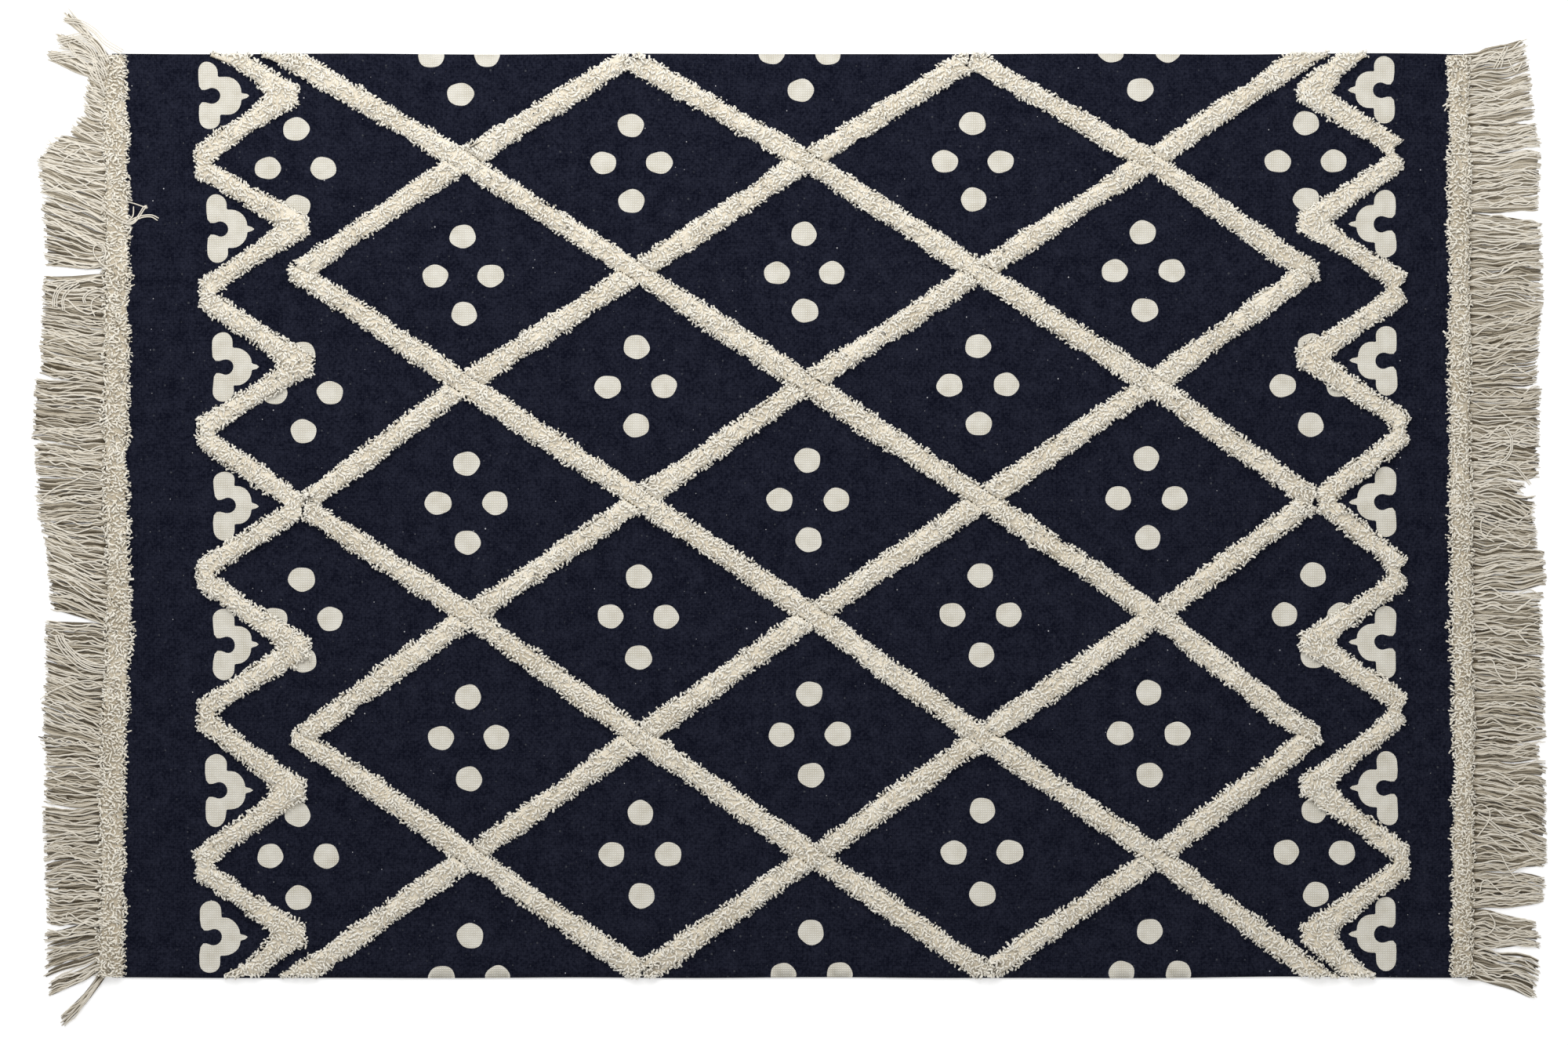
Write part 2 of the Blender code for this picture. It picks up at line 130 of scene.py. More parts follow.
# Three-lobed ornaments of the print, in millimetres: the middle, the outer edge, how far the
# middle lobe and its tip reach inwards, how far the arms reach up and down, and how much
# further right the lower arm ends
Ornament = namedtuple("Ornament", "side across edge lobe tip reach lean")
ORNAMENTS = rows(
    Ornament,
    (-1, 537.5, 750.5, 54.5, 64.5, 43.3, 3),
    (-1, 368, 740, 51, 60, 43.3, 2.2),
    (-1, 192, 733, 50, 59, 44, 1.5),
    (-1, 15, 731, 48, 57.5, 44.3, -0.5),
    (-1, -162, 731.5, 49, 58, 45.5, -0.5),
    (-1, -348, 741.5, 51, 60, 46.7, -0.5),
    (-1, -535, 748.5, 51, 60, 46.7, -1.5),
    (1, 545, 774.5, 50, 59, 43.2, 1),
    (1, 374, 775.5, 50, 59.5, 43.3, 1),
    (1, 200, 777.5, 50, 60, 44.5, 1),
    (1, 20, 776.5, 50, 60, 44.7, 1),
    (1, -159, 776.5, 50, 60, 46, 1),
    (1, -345, 778.5, 50, 60, 47, 1),
    (1, -531, 776.5, 50, 60, 47.5, 1),
)
ARM_HALF = 13.2
NOTCH_RADIUS = 10.3
NOTCH_DEPTH = 17.5
NOTCH_ARC = 118
NECK_HALF = 8.0
NECK_START = 9.0
MOUTH_DEPTH = 4.5
MOUTH_HALF = 22.0
LOBE_HALF = 24.0
LOBE_CORNER = 19.0
ORNAMENT_SWELL = 45
ORNAMENT_UNEVEN = 0.9

# Cut pile: short bits of yarn that lie about on a core, which is the ridge drawn in. Their
# lean from the surface's normal, their bend and their curl are in degrees
CORE_DEPTH = 0.9 * MM
CORE_SINK = 2.2 * MM
FAR_INSET = 0.9 * MM
FAR_INSET_START = 0.15
FAR_INSET_RUN = 0.25
ROOT_SINK = 1.4 * MM
PILE_FLOOR = 2.3 * MM
TUFT_FLOOR = PILE_FLOOR + 0.2 * MM
LONG_TUFT = 5.8 * MM
RIM_LENGTH = 0.98
RIM_LEAN = (12, 62)
TOP_LEAN = (66, 88)
TUFT_BEND = (5, 22)
TUFT_CURL = 30
BUNCH = 5
SEAM_REACH = 1.5 * MM
JOINT_OVERLAP = 3 * MM
# The tone at the roots of each style's tufts is painted shade, and the core under them takes half of
# it, painted shade in the gaps between tufts
PileStyle = namedtuple(
    "PileStyle", "spacing thick least most uneven inset swirl lump stray mottle root_tone"
)
LATTICE_STYLE = PileStyle(
    spacing=3.2 * MM, thick=2.6 * MM, least=4.4 * MM, most=8.4 * MM, uneven=0.7 * MM,
    inset=2.9 * MM, swirl=0.35, lump=26 * MM, stray=1.1 * MM, mottle=0.05, root_tone=0.74,
)
BORDER_STYLE = LATTICE_STYLE._replace(inset=3.5 * MM)
BAND_STYLE = PileStyle(
    spacing=3.1 * MM, thick=2.5 * MM, least=5.0 * MM, most=9.5 * MM, uneven=0.9 * MM,
    inset=2.2 * MM, swirl=0.35, lump=42 * MM, stray=2.3 * MM, mottle=0.1, root_tone=0.48,
)

# Ridges whose right-hand part is drawn in: from where, in millimetres, and to what share
DRAWN_IN = {"pile_band_right": (860, 0.78), "pile_zigzag_right": (776, 0.85)}

# Notches in the outer turns of the right-hand zigzag, where one arm ends on the next: their
# place, half their width and their depth, in millimetres
Notch = namedtuple("Notch", "across half depth")
NOTCH_START = 755 * MM
NOTCH_RUN = 35 * MM
NOTCHES = rows(
    Notch,
    (468, 15, 16),
    (293, 13, 10),
    (113, 12, 4),
    (-68, 13, 10),
    (-246, 13, 9),
)
EDGE_PILE = 5 * MM
EDGE_SHARE = 0.4

# How far the end bands and the roots of the fringes lie to the right of a straight line, in
# millimetres, from the near edge to the far one
EndShift = namedtuple("EndShift", "across left right")
END_SHIFTS = rows(
    EndShift,
    (-600, -6, 1),
    (-500, -5, 1),
    (-400, -5, 2.5),
    (-280, -3.5, 4.5),
    (-210, 0.5, 3),
    (-145, 4.5, 1.5),
    (-20, 1, 0.5),
    (60, 0, -1),
    (280, 1, 0),
    (450, 0.5, 0.5),
    (540, -0.5, -1),
    (600, -5, 1),
)

# Fringes: yarns that leave the woven strip under the band of pile in pinched locks
LEFT_FACE = 8.5 * MM
RIGHT_FACE = 6.5 * MM
FACE_UNEVEN = 1.3 * MM
STRIP_PROUD = 4.0 * MM
STRIP_WIDTH = 14 * MM
STRIP_LOW = 0.2 * MM
STRIP_HIGH = 1.6 * MM
STRIP_STEPS = 40
# The strip's dark tone is painted shade, as in the shadowed notches between the locks
STRIP_SHADE_TONE = 0.05
ROOT_DEPTH = 7 * MM
ROOT_HEIGHT = 2.6 * MM
LOCK_PITCH = 12.2 * MM
PINCH_RUN = 18 * MM
SWING_RUN = 22 * MM
RIPPLE_LENGTH = 19 * MM
LEAST_REACH = 8 * MM
YARN_THICK = 2.0 * MM
ROOT_SHADE = 0.4
ROOT_SHADE_RUN = 5 * MM
# Painted light: strands rooted towards the far edge, the side the light falls from, are given a
# lighter tone
FAR_PAINTED_LIGHT = 0.22
FAR_PAINTED_LIGHT_START = 0.2
FAR_PAINTED_LIGHT_RUN = 0.3

# How strands bend aside late in their run, and sooner the further aside their tips lie
BowEase = namedtuple("BowEase", "aside run less")
BOW = 2.1
BOW_EASES = rows(BowEase, (8 * MM, 10 * MM, 0.7), (22 * MM, 14 * MM, 0.5))

# Strays, and how high they lie on the fringe, on the cloth and over the band of pile
STRAY_PITCH = 2.8 * MM
STRAY_RADIUS = 0.42 * YARN_THICK
STRAY_TONE = 0.95
ON_FRINGE = 4.6 * MM
ON_CLOTH = 3.2 * MM
OVER_BAND = 11.6 * MM
BAND_MIDDLE = 5.0 * MM
BAND_CLEAR = 25 * MM
BAND_SLOPE = 12 * MM

# Clumps of strands, in millimetres from the far edge to the near one: where they are rooted,
# where their tips end, how far these reach, and how far the strands slant to the far edge
Clump = namedtuple("Clump", "root_from root_to tip_from tip_to reach_from reach_to rise")
LEFT_CLUMPS = rows(
    Clump,
    (586, 580, 640, 633, 50, 50, 0),
    (582, 570, 614, 600, 60, 55, 0),
    (572, 553, 593, 583, 70, 72, 6),
    (553, 530, 566, 546, 22, 24, 6),
    (530, 500, 544, 514, 27, 27, 4),
    (502, 473, 512, 484, 30, 46, 3),
    (477, 440, 485, 452, 56, 88, 6),
    (446, 318, 462, 322, 88, 78, 26),
    (310, 170, 306, 181, 80, 84, 16),
    (173, 90, 174, 99, 90, 94, 5),
    (90, -5, 92, -5, 91, 87, 4),
    (-5, -139, -5, -118, 83, 74, 20),
    (-139, -215, -133, -208, 82, 76, 12),
    (-213, -292, -207, -273, 76, 77, 18),
    (-290, -305, -275, -296, 81, 73, 0),
    (-305, -369, -297, -363, 72, 74, 0),
    (-369, -519, -371, -520, 76, 69, 2),
    (-518, -532, -530, -542, 72, 72, 0),
    (-532, -559, -546, -591, 69, 74, 0),
    (-559, -571, -596, -612, 66, 66, 0),
    (-571, -583, -636, -648, 51, 51, 0),
)
RIGHT_CLUMPS = rows(
    Clump,
    (590, 560, 610, 568, 69, 79, 6),
    (560, 500, 564, 508, 80, 83, 12),
    (501, 480, 502, 486, 87, 87, 3),
    (480, 467, 482, 472, 90, 90, 0),
    (467, 389, 466, 393, 91, 89, 12),
    (389, 285, 379, 281, 91, 94, 12),
    (286, 168, 280, 171, 94, 86, 22),
    (168, 47, 165, 47, 91, 88, 0),
    (47, 34, 44, 33, 72, 64, 0),
    (34, -41, 28, -40, 82, 85, -18),
    (-40, -94, -43, -86, 93, 96, 6),
    (-94, -105, -96, -102, 92, 92, 0),
    (-105, -286, -108, -284, 90, 91, -10),
    (-285, -310, -287, -309, 83, 83, -4),
    (-310, -452, -313, -446, 92, 93, -22),
    (-452, -500, -459, -490, 91, 91, 0),
    (-500, -546, -515, -549, 78, 88, 4),
    (-547, -587, -563, -610, 87, 78, -4),
)

# Single yarns of the fringes that lie across the others, in millimetres: how many lie side
# by side, and the points that they pass from the root on, outwards and across
Stray = namedtuple("Stray", "strands points")
LEFT_STRAYS = rows(
    Stray,
    (3, ((846, 592), (868, 605), (882, 619), (900, 631), (922, 635))),
    (4, ((866, 578), (879, 600), (896, 612), (914, 611), (930, 608))),
    (4, ((868, 566), (884, 582), (904, 589), (923, 590), (940, 588))),
    (2, ((869, 543), (881, 572), (886, 592), (900, 606), (912, 614))),
    (2, ((867, 560), (874, 580), (886, 600), (904, 604))),
    (2, ((870, 552), (882, 560), (893, 577), (907, 589), (916, 604))),
    (1, ((869, 540), (884, 566), (900, 575), (916, 583))),
    (2, ((873, 396), (851, 380), (837, 375), (828, 382), (820, 394), (816, 396))),
    (2, ((866, 389), (842, 376), (830, 381), (820, 384), (810, 384), (802, 380))),
    (1, ((858, 406), (844, 403), (832, 400), (820, 396), (816, 396))),
    (1, ((842, 374), (834, 384), (833, 396))),
    (1, ((868, 348), (882, 346), (883, 335), (873, 323), (865, 320), (855, 323))),
    (1, ((880, 351), (869, 344), (868, 332), (875, 325))),
    (3, ((906, 300), (915, 298), (927, 291), (933, 280), (934, 268))),
    (2, ((902, 298), (912, 292), (920, 284), (923, 275), (922, 264))),
    (2, ((870, 288), (877, 290), (889, 287), (896, 280), (895, 273))),
    (1, ((875, 283), (884, 278), (887, 268), (882, 256))),
    (1, ((885, 59), (908, 47), (931, 38), (952, 23))),
    (5, ((868, -194), (883, -193), (899, -186), (913, -173), (924, -160), (929, -150))),
    (1, ((872, -214), (890, -208), (912, -212), (938, -222), (952, -232))),
    (1, ((870, -512), (884, -520), (900, -515), (916, -504), (919, -512))),
)
RIGHT_STRAYS = rows(
    Stray,
    (1, ((847, 13), (858, 13), (868, 11), (880, 12))),
    (2, ((875, 69), (896, 68), (912, 72), (922, 84), (923, 100), (916, 113))),
    (2, ((880, 72), (909, 69), (928, 64), (939, 52), (947, 42))),
    (1, ((875, 17), (896, 13), (914, 2), (938, 0), (949, 5), (946, 11), (936, 16))),
    (1, ((897, 3), (886, -2), (884, -14), (888, -24), (901, -31))),
    (1, ((875, -22), (906, -26), (933, -37), (943, -36), (947, -30))),
    (1, ((879, -407), (888, -396), (895, -384), (894, -372), (885, -366), (876, -368))),
    (1, ((910, -430), (914, -438), (920, -449), (931, -463))),
    (1, ((883, -478), (885, -466), (892, -462), (901, -470), (912, -479), (925, -481), (935, -475))),
    (2, ((880, -378), (896, -388), (914, -402), (935, -412), (951, -430))),
    (1, ((878, 578), (893, 585), (904, 592), (912, 584), (909, 572))),
    (2, ((917, 600), (911, 588), (902, 572))),
    (1, ((937, 580), (930, 568), (925, 572), (919, 584))),
    (1, ((880, -183), (898, -182), (904, -196), (914, -208), (928, -206), (929, -192))),
    (1, ((876, -505), (892, -503), (902, -518), (895, -530), (884, -532))),
)

# Colours, linear
NAVY = (0.0014, 0.0022, 0.0085)
NAVY_PALE = (0.0170, 0.0190, 0.0340)
LINT = (0.45, 0.45, 0.47)
FAINT_LINT = (0.050, 0.053, 0.063)
CANVAS = (0.52, 0.48, 0.385)
CANVAS_PALE = (0.80, 0.775, 0.70)
# The dark ends of the yarn ramps are painted shade: the colour of the deep pile, the tuft roots and
# the gaps between strands
PILE_PAINTED_SHADE = (0.42, 0.33, 0.19)
PILE_MIDDLE = (0.925, 0.862, 0.732)
PILE_PALE = (0.975, 0.94, 0.85)
BAND_PAINTED_SHADE = (0.30, 0.23, 0.13)
BAND_TONE = (0.86, 0.795, 0.662)
BAND_PALE = (0.965, 0.92, 0.815)
YARN_PAINTED_SHADE = (0.095, 0.072, 0.042)
YARN_MIDDLE = (0.50, 0.44, 0.335)
YARN_PALE = (0.84, 0.79, 0.69)
FLOOR_WHITE = (0.93, 0.93, 0.93)

# Pitch of the weave, and how fine the fuzz of the yarn and the flecks of lint are
PRINT_PITCH = 2.4 * MM
CANVAS_PITCH = 2.9 * MM
SHEEN_ROUGHNESS = 0.6
PILE_FUZZ = 900
YARN_FUZZ = 1100
Flecks = namedtuple("Flecks", "scale reach strength")
FAINT_FLECKS = Flecks(135, 0.24, 13)
BRIGHT_FLECKS = Flecks(78, 0.078, 130)

# Seeds of the random draws
CLOTH_SEED = 11
PILE_SEED = 100
LEFT_SEED = 7
RIGHT_SEED = 8


def waves(rng, length, count=7):
    """A smooth uneven field over the rug, about -1 to 1, with swells of about that length."""
    turns = rng.uniform(0, 2 * math.pi, count)
    starts = rng.uniform(0, 2 * math.pi, count)
    lengths = length * rng.uniform(0.7, 1.6, count)

    def field(x, y):
        total = 0
        for turn, start, size in zip(turns, starts, lengths):
            along = x * math.cos(turn) + y * math.sin(turn)
            total = total + np.sin(along * 2 * math.pi / size + start)
        return total / math.sqrt(2 * count)

    return field


def smooth_step(value):
    value = np.clip(value, 0, 1)
    return value * value * (3 - 2 * value)


# Materials


def connect(tree, node, sockets):
    """Gives each socket its value, or links it to another node's output."""
    for name, value in sockets.items():
        if isinstance(value, bpy.types.NodeSocket):
            tree.links.new(value, node.inputs[name])
        else:
            node.inputs[name].default_value = value


def add_node(tree, kind, sockets, **settings):
    node = tree.nodes.new("ShaderNode" + kind)
    for name, value in settings.items():
        setattr(node, name, value)
    connect(tree, node, sockets)
    return node


def new_material(name, specular, sheen):
    material = bpy.data.materials.new(name)
    material.use_nodes = True
    tree = material.node_tree
    shader = tree.nodes["Principled BSDF"]
    connect(tree, shader, {"Specular IOR Level": specular, "Sheen Weight": sheen})
    connect(tree, shader, {"Sheen Roughness": SHEEN_ROUGHNESS})
    return material, tree, shader


def place(tree, stretch):
    """The rug's own coordinates, stretched."""
    coordinates = add_node(tree, "TexCoord", {}).outputs["Object"]
    return add_node(tree, "Mapping", {"Scale": stretch, "Vector": coordinates}).outputs["Vector"]


def noise(tree, scale, detail):
    sockets = {"Scale": scale, "Detail": detail, "Vector": place(tree, (1, 1, 1))}
    return add_node(tree, "TexNoise", sockets).outputs["Fac"]


def bands(tree, direction, pitch, distortion):
    """Threads side by side at that pitch."""
    sockets = {"Scale": math.pi / 10 / pitch, "Vector": place(tree, (1, 1, 1))}
    sockets.update({"Distortion": distortion, "Detail": 1, "Detail Scale": 2})
    return add_node(tree, "TexWave", sockets, bands_direction=direction).outputs["Fac"]


def math_node(tree, operation, first, second, clamp=False):
    sockets = {0: first, 1: second}
    return add_node(tree, "Math", sockets, operation=operation, use_clamp=clamp).outputs[0]


def ramp(tree, factor, stops):
    node = add_node(tree, "ValToRGB", {"Fac": factor})
    elements = node.color_ramp.elements
    while len(elements) < len(stops):
        elements.new(0.5)
    for element, (position, colour) in zip(elements, stops):
        element.position = position
        element.color = (*colour, 1)
    return node.outputs["Color"]


def spotted(tree, colour, spots, lint):
    """A colour under spots of another. The node's colour sockets are 6 and 7, and 2 is out."""
    sockets = {0: spots, 6: colour, 7: (*lint, 1)}
    return add_node(tree, "Mix", sockets, data_type="RGBA").outputs[2]


def roughen(tree, shader, factor, least, most):
    spread = add_node(tree, "MapRange", {"Value": factor, "To Min": least, "To Max": most})
    connect(tree, shader, {"Roughness": spread.outputs["Result"]})


def bump(tree, shader, height, distance):
    raised = add_node(tree, "Bump", {"Height": height, "Distance": distance, "Strength": 1.0})
    connect(tree, shader, {"Normal": raised.outputs["Normal"]})


def woven(tree, pitch):
    """Height of a plain weave: warp and weft threads that cross."""
    return math_node(
        tree, "MULTIPLY", bands(tree, "X", pitch, 1.2), bands(tree, "Y", pitch, 1.2)
    )


def flecks(tree, scale, reach, strength):
    """Small scattered spots: one at most in each cell, of an uneven size and strength."""
    cells = add_node(tree, "TexVoronoi", {"Scale": scale, "Vector": place(tree, (1, 1, 0))})
    split = add_node(tree, "SeparateColor", {"Color": cells.outputs["Color"]})
    size = math_node(tree, "MULTIPLY", math_node(tree, "POWER", split.outputs["Red"], 1.3), reach)
    near = math_node(tree, "SUBTRACT", size, cells.outputs["Distance"])
    own = math_node(tree, "POWER", split.outputs["Green"], 2)
    own = math_node(tree, "MULTIPLY", own, strength)
    return math_node(tree, "MULTIPLY", near, own, True)


def navy_print():
    """Dark print on the woven cloth, with uneven threads and lint."""
    material, tree, shader = new_material("navy_print", 0.06, 0.03)
    weave = woven(tree, PRINT_PITCH)
    grain = math_node(tree, "MULTIPLY", noise(tree, 330, 3), 0.6)
    patches = math_node(tree, "MULTIPLY", noise(tree, 45, 5), 0.3)
    tone = math_node(tree, "ADD", grain, patches)
    tone = math_node(tree, "ADD", tone, math_node(tree, "MULTIPLY", weave, 0.12))
    colour = ramp(tree, tone, ((0.36, NAVY), (0.64, NAVY_PALE)))
    colour = spotted(tree, colour, flecks(tree, *FAINT_FLECKS), FAINT_LINT)
    colour = spotted(tree, colour, flecks(tree, *BRIGHT_FLECKS), LINT)
    connect(tree, shader, {"Base Color": colour})
    roughen(tree, shader, weave, 0.95, 0.8)
    bump(tree, shader, weave, 0.3 * MM)
    return material


def bare_canvas():
    """Undyed cotton that the print left bare."""
    material, tree, shader = new_material("bare_canvas", 0.15, 0.1)
    weave = woven(tree, CANVAS_PITCH)
    patches = math_node(tree, "MULTIPLY", noise(tree, 60, 4), 0.5)
    tone = math_node(tree, "ADD", patches, math_node(tree, "MULTIPLY", weave, 0.5))
    colour = ramp(tree, tone, ((0.12, CANVAS), (0.5, CANVAS_PALE)))
    connect(tree, shader, {"Base Color": colour})
    roughen(tree, shader, weave, 0.95, 0.82)
    bump(tree, shader, weave, 0.6 * MM)
    return material


def cotton_yarn(name, painted_shade, middle, pale, fuzz_scale):
    """Undyed yarn: darker down in the pile, which is painted shade, each tuft or strand with a tone
    of its own.
    """
    material, tree, shader = new_material(name, 0.15, 0.15)
    attribute = add_node(tree, "Attribute", {}, attribute_name="tone")
    fuzz = noise(tree, fuzz_scale, 3)
    patches = noise(tree, 14, 3)
    uneven = math_node(tree, "MULTIPLY", math_node(tree, "SUBTRACT", fuzz, 0.5), 0.35)
    swells = math_node(tree, "MULTIPLY", math_node(tree, "SUBTRACT", patches, 0.5), 0.3)
    tone = math_node(tree, "ADD", attribute.outputs["Fac"], uneven)
    tone = math_node(tree, "ADD", tone, swells, True)
    # The low end of the ramp is painted shade, for the deep pile and the gaps between strands
    colour = ramp(tree, tone, ((0.0, painted_shade), (0.5, middle), (1.0, pale)))
    connect(tree, shader, {"Base Color": colour})
    roughen(tree, shader, fuzz, 0.8, 1.0)
    bump(tree, shader, fuzz, 0.3 * MM)
    return material


def floor_paint():
    material, tree, shader = new_material("pale_floor", 0.1, 0.0)
    patches = noise(tree, 3, 2)
    warm = tuple(c * 0.99 for c in FLOOR_WHITE)
    colour = ramp(tree, patches, ((0.3, FLOOR_WHITE), (0.7, warm)))
    connect(tree, shader, {"Base Color": colour, "Emission Color": (1.0, 1.0, 1.0, 1)})
    connect(tree, shader, {"Emission Strength": FLOOR_GLOW})
    roughen(tree, shader, patches, 0.9, 1.0)
    return material


# Meshes


def mesh_object(name, points, triangles, materials, tones=None, slots=None, smooth=True):
    """An object made of triangles, with a tone for each point and a material for each face."""
    mesh = bpy.data.meshes.new(name)
    mesh.vertices.add(len(points))
    mesh.vertices.foreach_set("co", np.asarray(points, np.float32).ravel())
    mesh.loops.add(3 * len(triangles))
    mesh.loops.foreach_set("vertex_index", np.asarray(triangles, np.int32).ravel())
    mesh.polygons.add(len(triangles))
    mesh.polygons.foreach_set("loop_start", np.arange(0, 3 * len(triangles), 3, np.int32))
    if slots is not None:
        mesh.polygons.foreach_set("material_index", np.asarray(slots, np.int32))
    mesh.polygons.foreach_set("use_smooth", np.full(len(triangles), smooth))
    if tones is not None:
        attribute = mesh.attributes.new("tone", "FLOAT", "POINT")
        attribute.data.foreach_set("value", np.asarray(tones, np.float32))
    for material in materials:
        mesh.materials.append(material)
    mesh.update(calc_edges=True)
    obj = bpy.data.objects.new(name, mesh)
    bpy.context.scene.collection.objects.link(obj)
    return obj


def node_arrays(name):
    """Points and triangles of a CAD node."""
    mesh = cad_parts[name].data
    mesh.calc_loop_triangles()
    points = np.empty(3 * len(mesh.vertices), np.float32)
    mesh.vertices.foreach_get("co", points)
    triangles = np.empty(3 * len(mesh.loop_triangles), np.int32)
    mesh.loop_triangles.foreach_get("vertices", triangles)
    return points.reshape(-1, 3).astype(float), triangles.reshape(-1, 3)


def unit(vectors):
    return vectors / np.maximum(np.linalg.norm(vectors, axis=-1, keepdims=True), 1e-12)


def merged(parts):
    """Points, triangles and tones of several meshes as those of one."""
    points, faces, tones = zip(*parts)
    starts = np.cumsum([0] + [len(some) for some in points[:-1]])
    faces = [some + start for some, start in zip(faces, starts)]
    return np.concatenate(points), np.concatenate(faces), np.concatenate(tones)


# Ground cloth


def right_end(y):
    middle = (FAR_EDGE + NEAR_EDGE) / 2
    half = (FAR_EDGE - NEAR_EDGE) / 2
    return RIGHT_END - RIGHT_END_LEAN * (y - middle) / half


def cloth_outline(rng):
    steps = round((RIGHT_END - LEFT_END) / OUTLINE_STEP)
    far = waves(rng, 0.35, 5)
    near = waves(rng, 0.35, 5)
    outline = []
    for i in range(steps + 1):
        x = LEFT_END + (right_end(NEAR_EDGE) - LEFT_END) * i / steps
        outline.append((x, NEAR_EDGE + EDGE_WAVE * near(x, 0)))
    for i in range(steps + 1):
        x = right_end(FAR_EDGE) + (LEFT_END - right_end(FAR_EDGE)) * i / steps
        outline.append((x, FAR_EDGE + EDGE_WAVE * far(x, 0)))
    return outline


def dot_outline(rng, x, y, half_x, half_y):
    starts = rng.uniform(0, 2 * math.pi, 3)
    outline = []
    for i in range(DOT_STEPS):
        turn = 2 * math.pi * i / DOT_STEPS
        uneven = sum(math.sin(k * turn + start) for k, start in zip((2, 3, 5), starts))
        grow = 1 + DOT_UNEVEN * uneven / DOT_HALF / 1.5
        outline.append((x + half_x * grow * math.cos(turn), y + half_y * grow * math.sin(turn)))
    return outline


def dot_outlines(rng):
    """The four dots of every diamond, growing a little towards the near edge."""
    outlines = []
    for r, row in enumerate(DOT_ROWS):
        half_tall = DOT_TALL + DOT_TALL_GROWTH * r
        half_flat = DOT_FLAT + DOT_FLAT_GROWTH * r
        for c, column in enumerate(DOT_COLUMNS):
            if (r + c) % 2 == 0:
                continue
            off_x, off_y = DOTS_OFF_LINE.get((r, c), (0, 0))
            x = column.along + row.shift + off_x
            y = row.across - column.drop + off_y
            above = DOT_ABOVE * row.pitch
            for dx, dy, half_y in (
                (0, above, half_tall),
                (LOWER_DOT_SHIFT, -above, half_tall),
                (-DOT_ASIDE, 0, half_flat),
                (DOT_ASIDE, 0, half_flat),
            ):
                place_x = x + dx + rng.uniform(-DOT_ASTRAY, DOT_ASTRAY)
                place_y = y + dy + rng.uniform(-DOT_ASTRAY, DOT_ASTRAY)
                half_x = DOT_HALF + rng.uniform(-DOT_HALF_UNEVEN, DOT_HALF_UNEVEN)
                outlines.append(dot_outline(rng, place_x, place_y, half_x, half_y))
    return outlines


def arc(x, y, radius, start, stop, steps):
    """Points on an arc, from start to stop in degrees."""
    turns = [math.radians(start + (stop - start) * i / steps) for i in range(steps + 1)]
    return [(x + radius * math.cos(turn), y + radius * math.sin(turn)) for turn in turns]


def ornament_outline(rng, ornament):
    """A lobe with a pointed tip between two rounded arms, round a notch that opens outwards."""
    lobe = ornament.lobe
    reach = ornament.reach
    upper = arc(NOTCH_DEPTH, 0, NOTCH_RADIUS, 0, NOTCH_ARC, 7)
    upper += [(NECK_START, NECK_HALF), (MOUTH_DEPTH, NECK_HALF)]
    upper += [(1, NECK_HALF + MOUTH_DEPTH), (0, MOUTH_HALF)]
    upper += arc(ARM_HALF, reach - ARM_HALF, ARM_HALF, 180, 0, 12)
    upper += [(2 * ARM_HALF, LOBE_HALF + 1), (2 * ARM_HALF + 1.5, LOBE_HALF)]
    upper += arc(lobe - LOBE_CORNER, LOBE_HALF - LOBE_CORNER, LOBE_CORNER, 90, 0, 6)
    upper += [(lobe + 0.4, 4.5), (lobe + 1.6, 3.9), (ornament.tip - 3, 2.6), (ornament.tip, 0.4)]
    lower = [(u, -v) for u, v in reversed(upper[1:])]
    u_wave = waves(rng, ORNAMENT_SWELL, 4)
    v_wave = waves(rng, ORNAMENT_SWELL, 4)
    outline = []
    for u, v in upper + lower:
        u_uneven = u + ORNAMENT_UNEVEN * u_wave(u, v)
        v_uneven = v + ORNAMENT_UNEVEN * v_wave(u, v)
        x = ornament.side * (ornament.edge - u_uneven) - ornament.lean * v / reach / 2
        outline.append((x, ornament.across + v_uneven))
    return outline if ornament.side > 0 else outline[::-1]


def in_metres(outline):
    return [(x * MM, y * MM) for x, y in outline]


def cloth_swell(x, y, field):
    """How far the cloth stands off the floor: the fold crease and slight swells."""
    crease = np.maximum(0, 1 - abs(y - CREASE_Y) / CREASE_HALF)
    return CREASE_RISE * crease**1.5 + SWELL * (0.5 + 0.5 * np.clip(field(x, y), -1, 1))


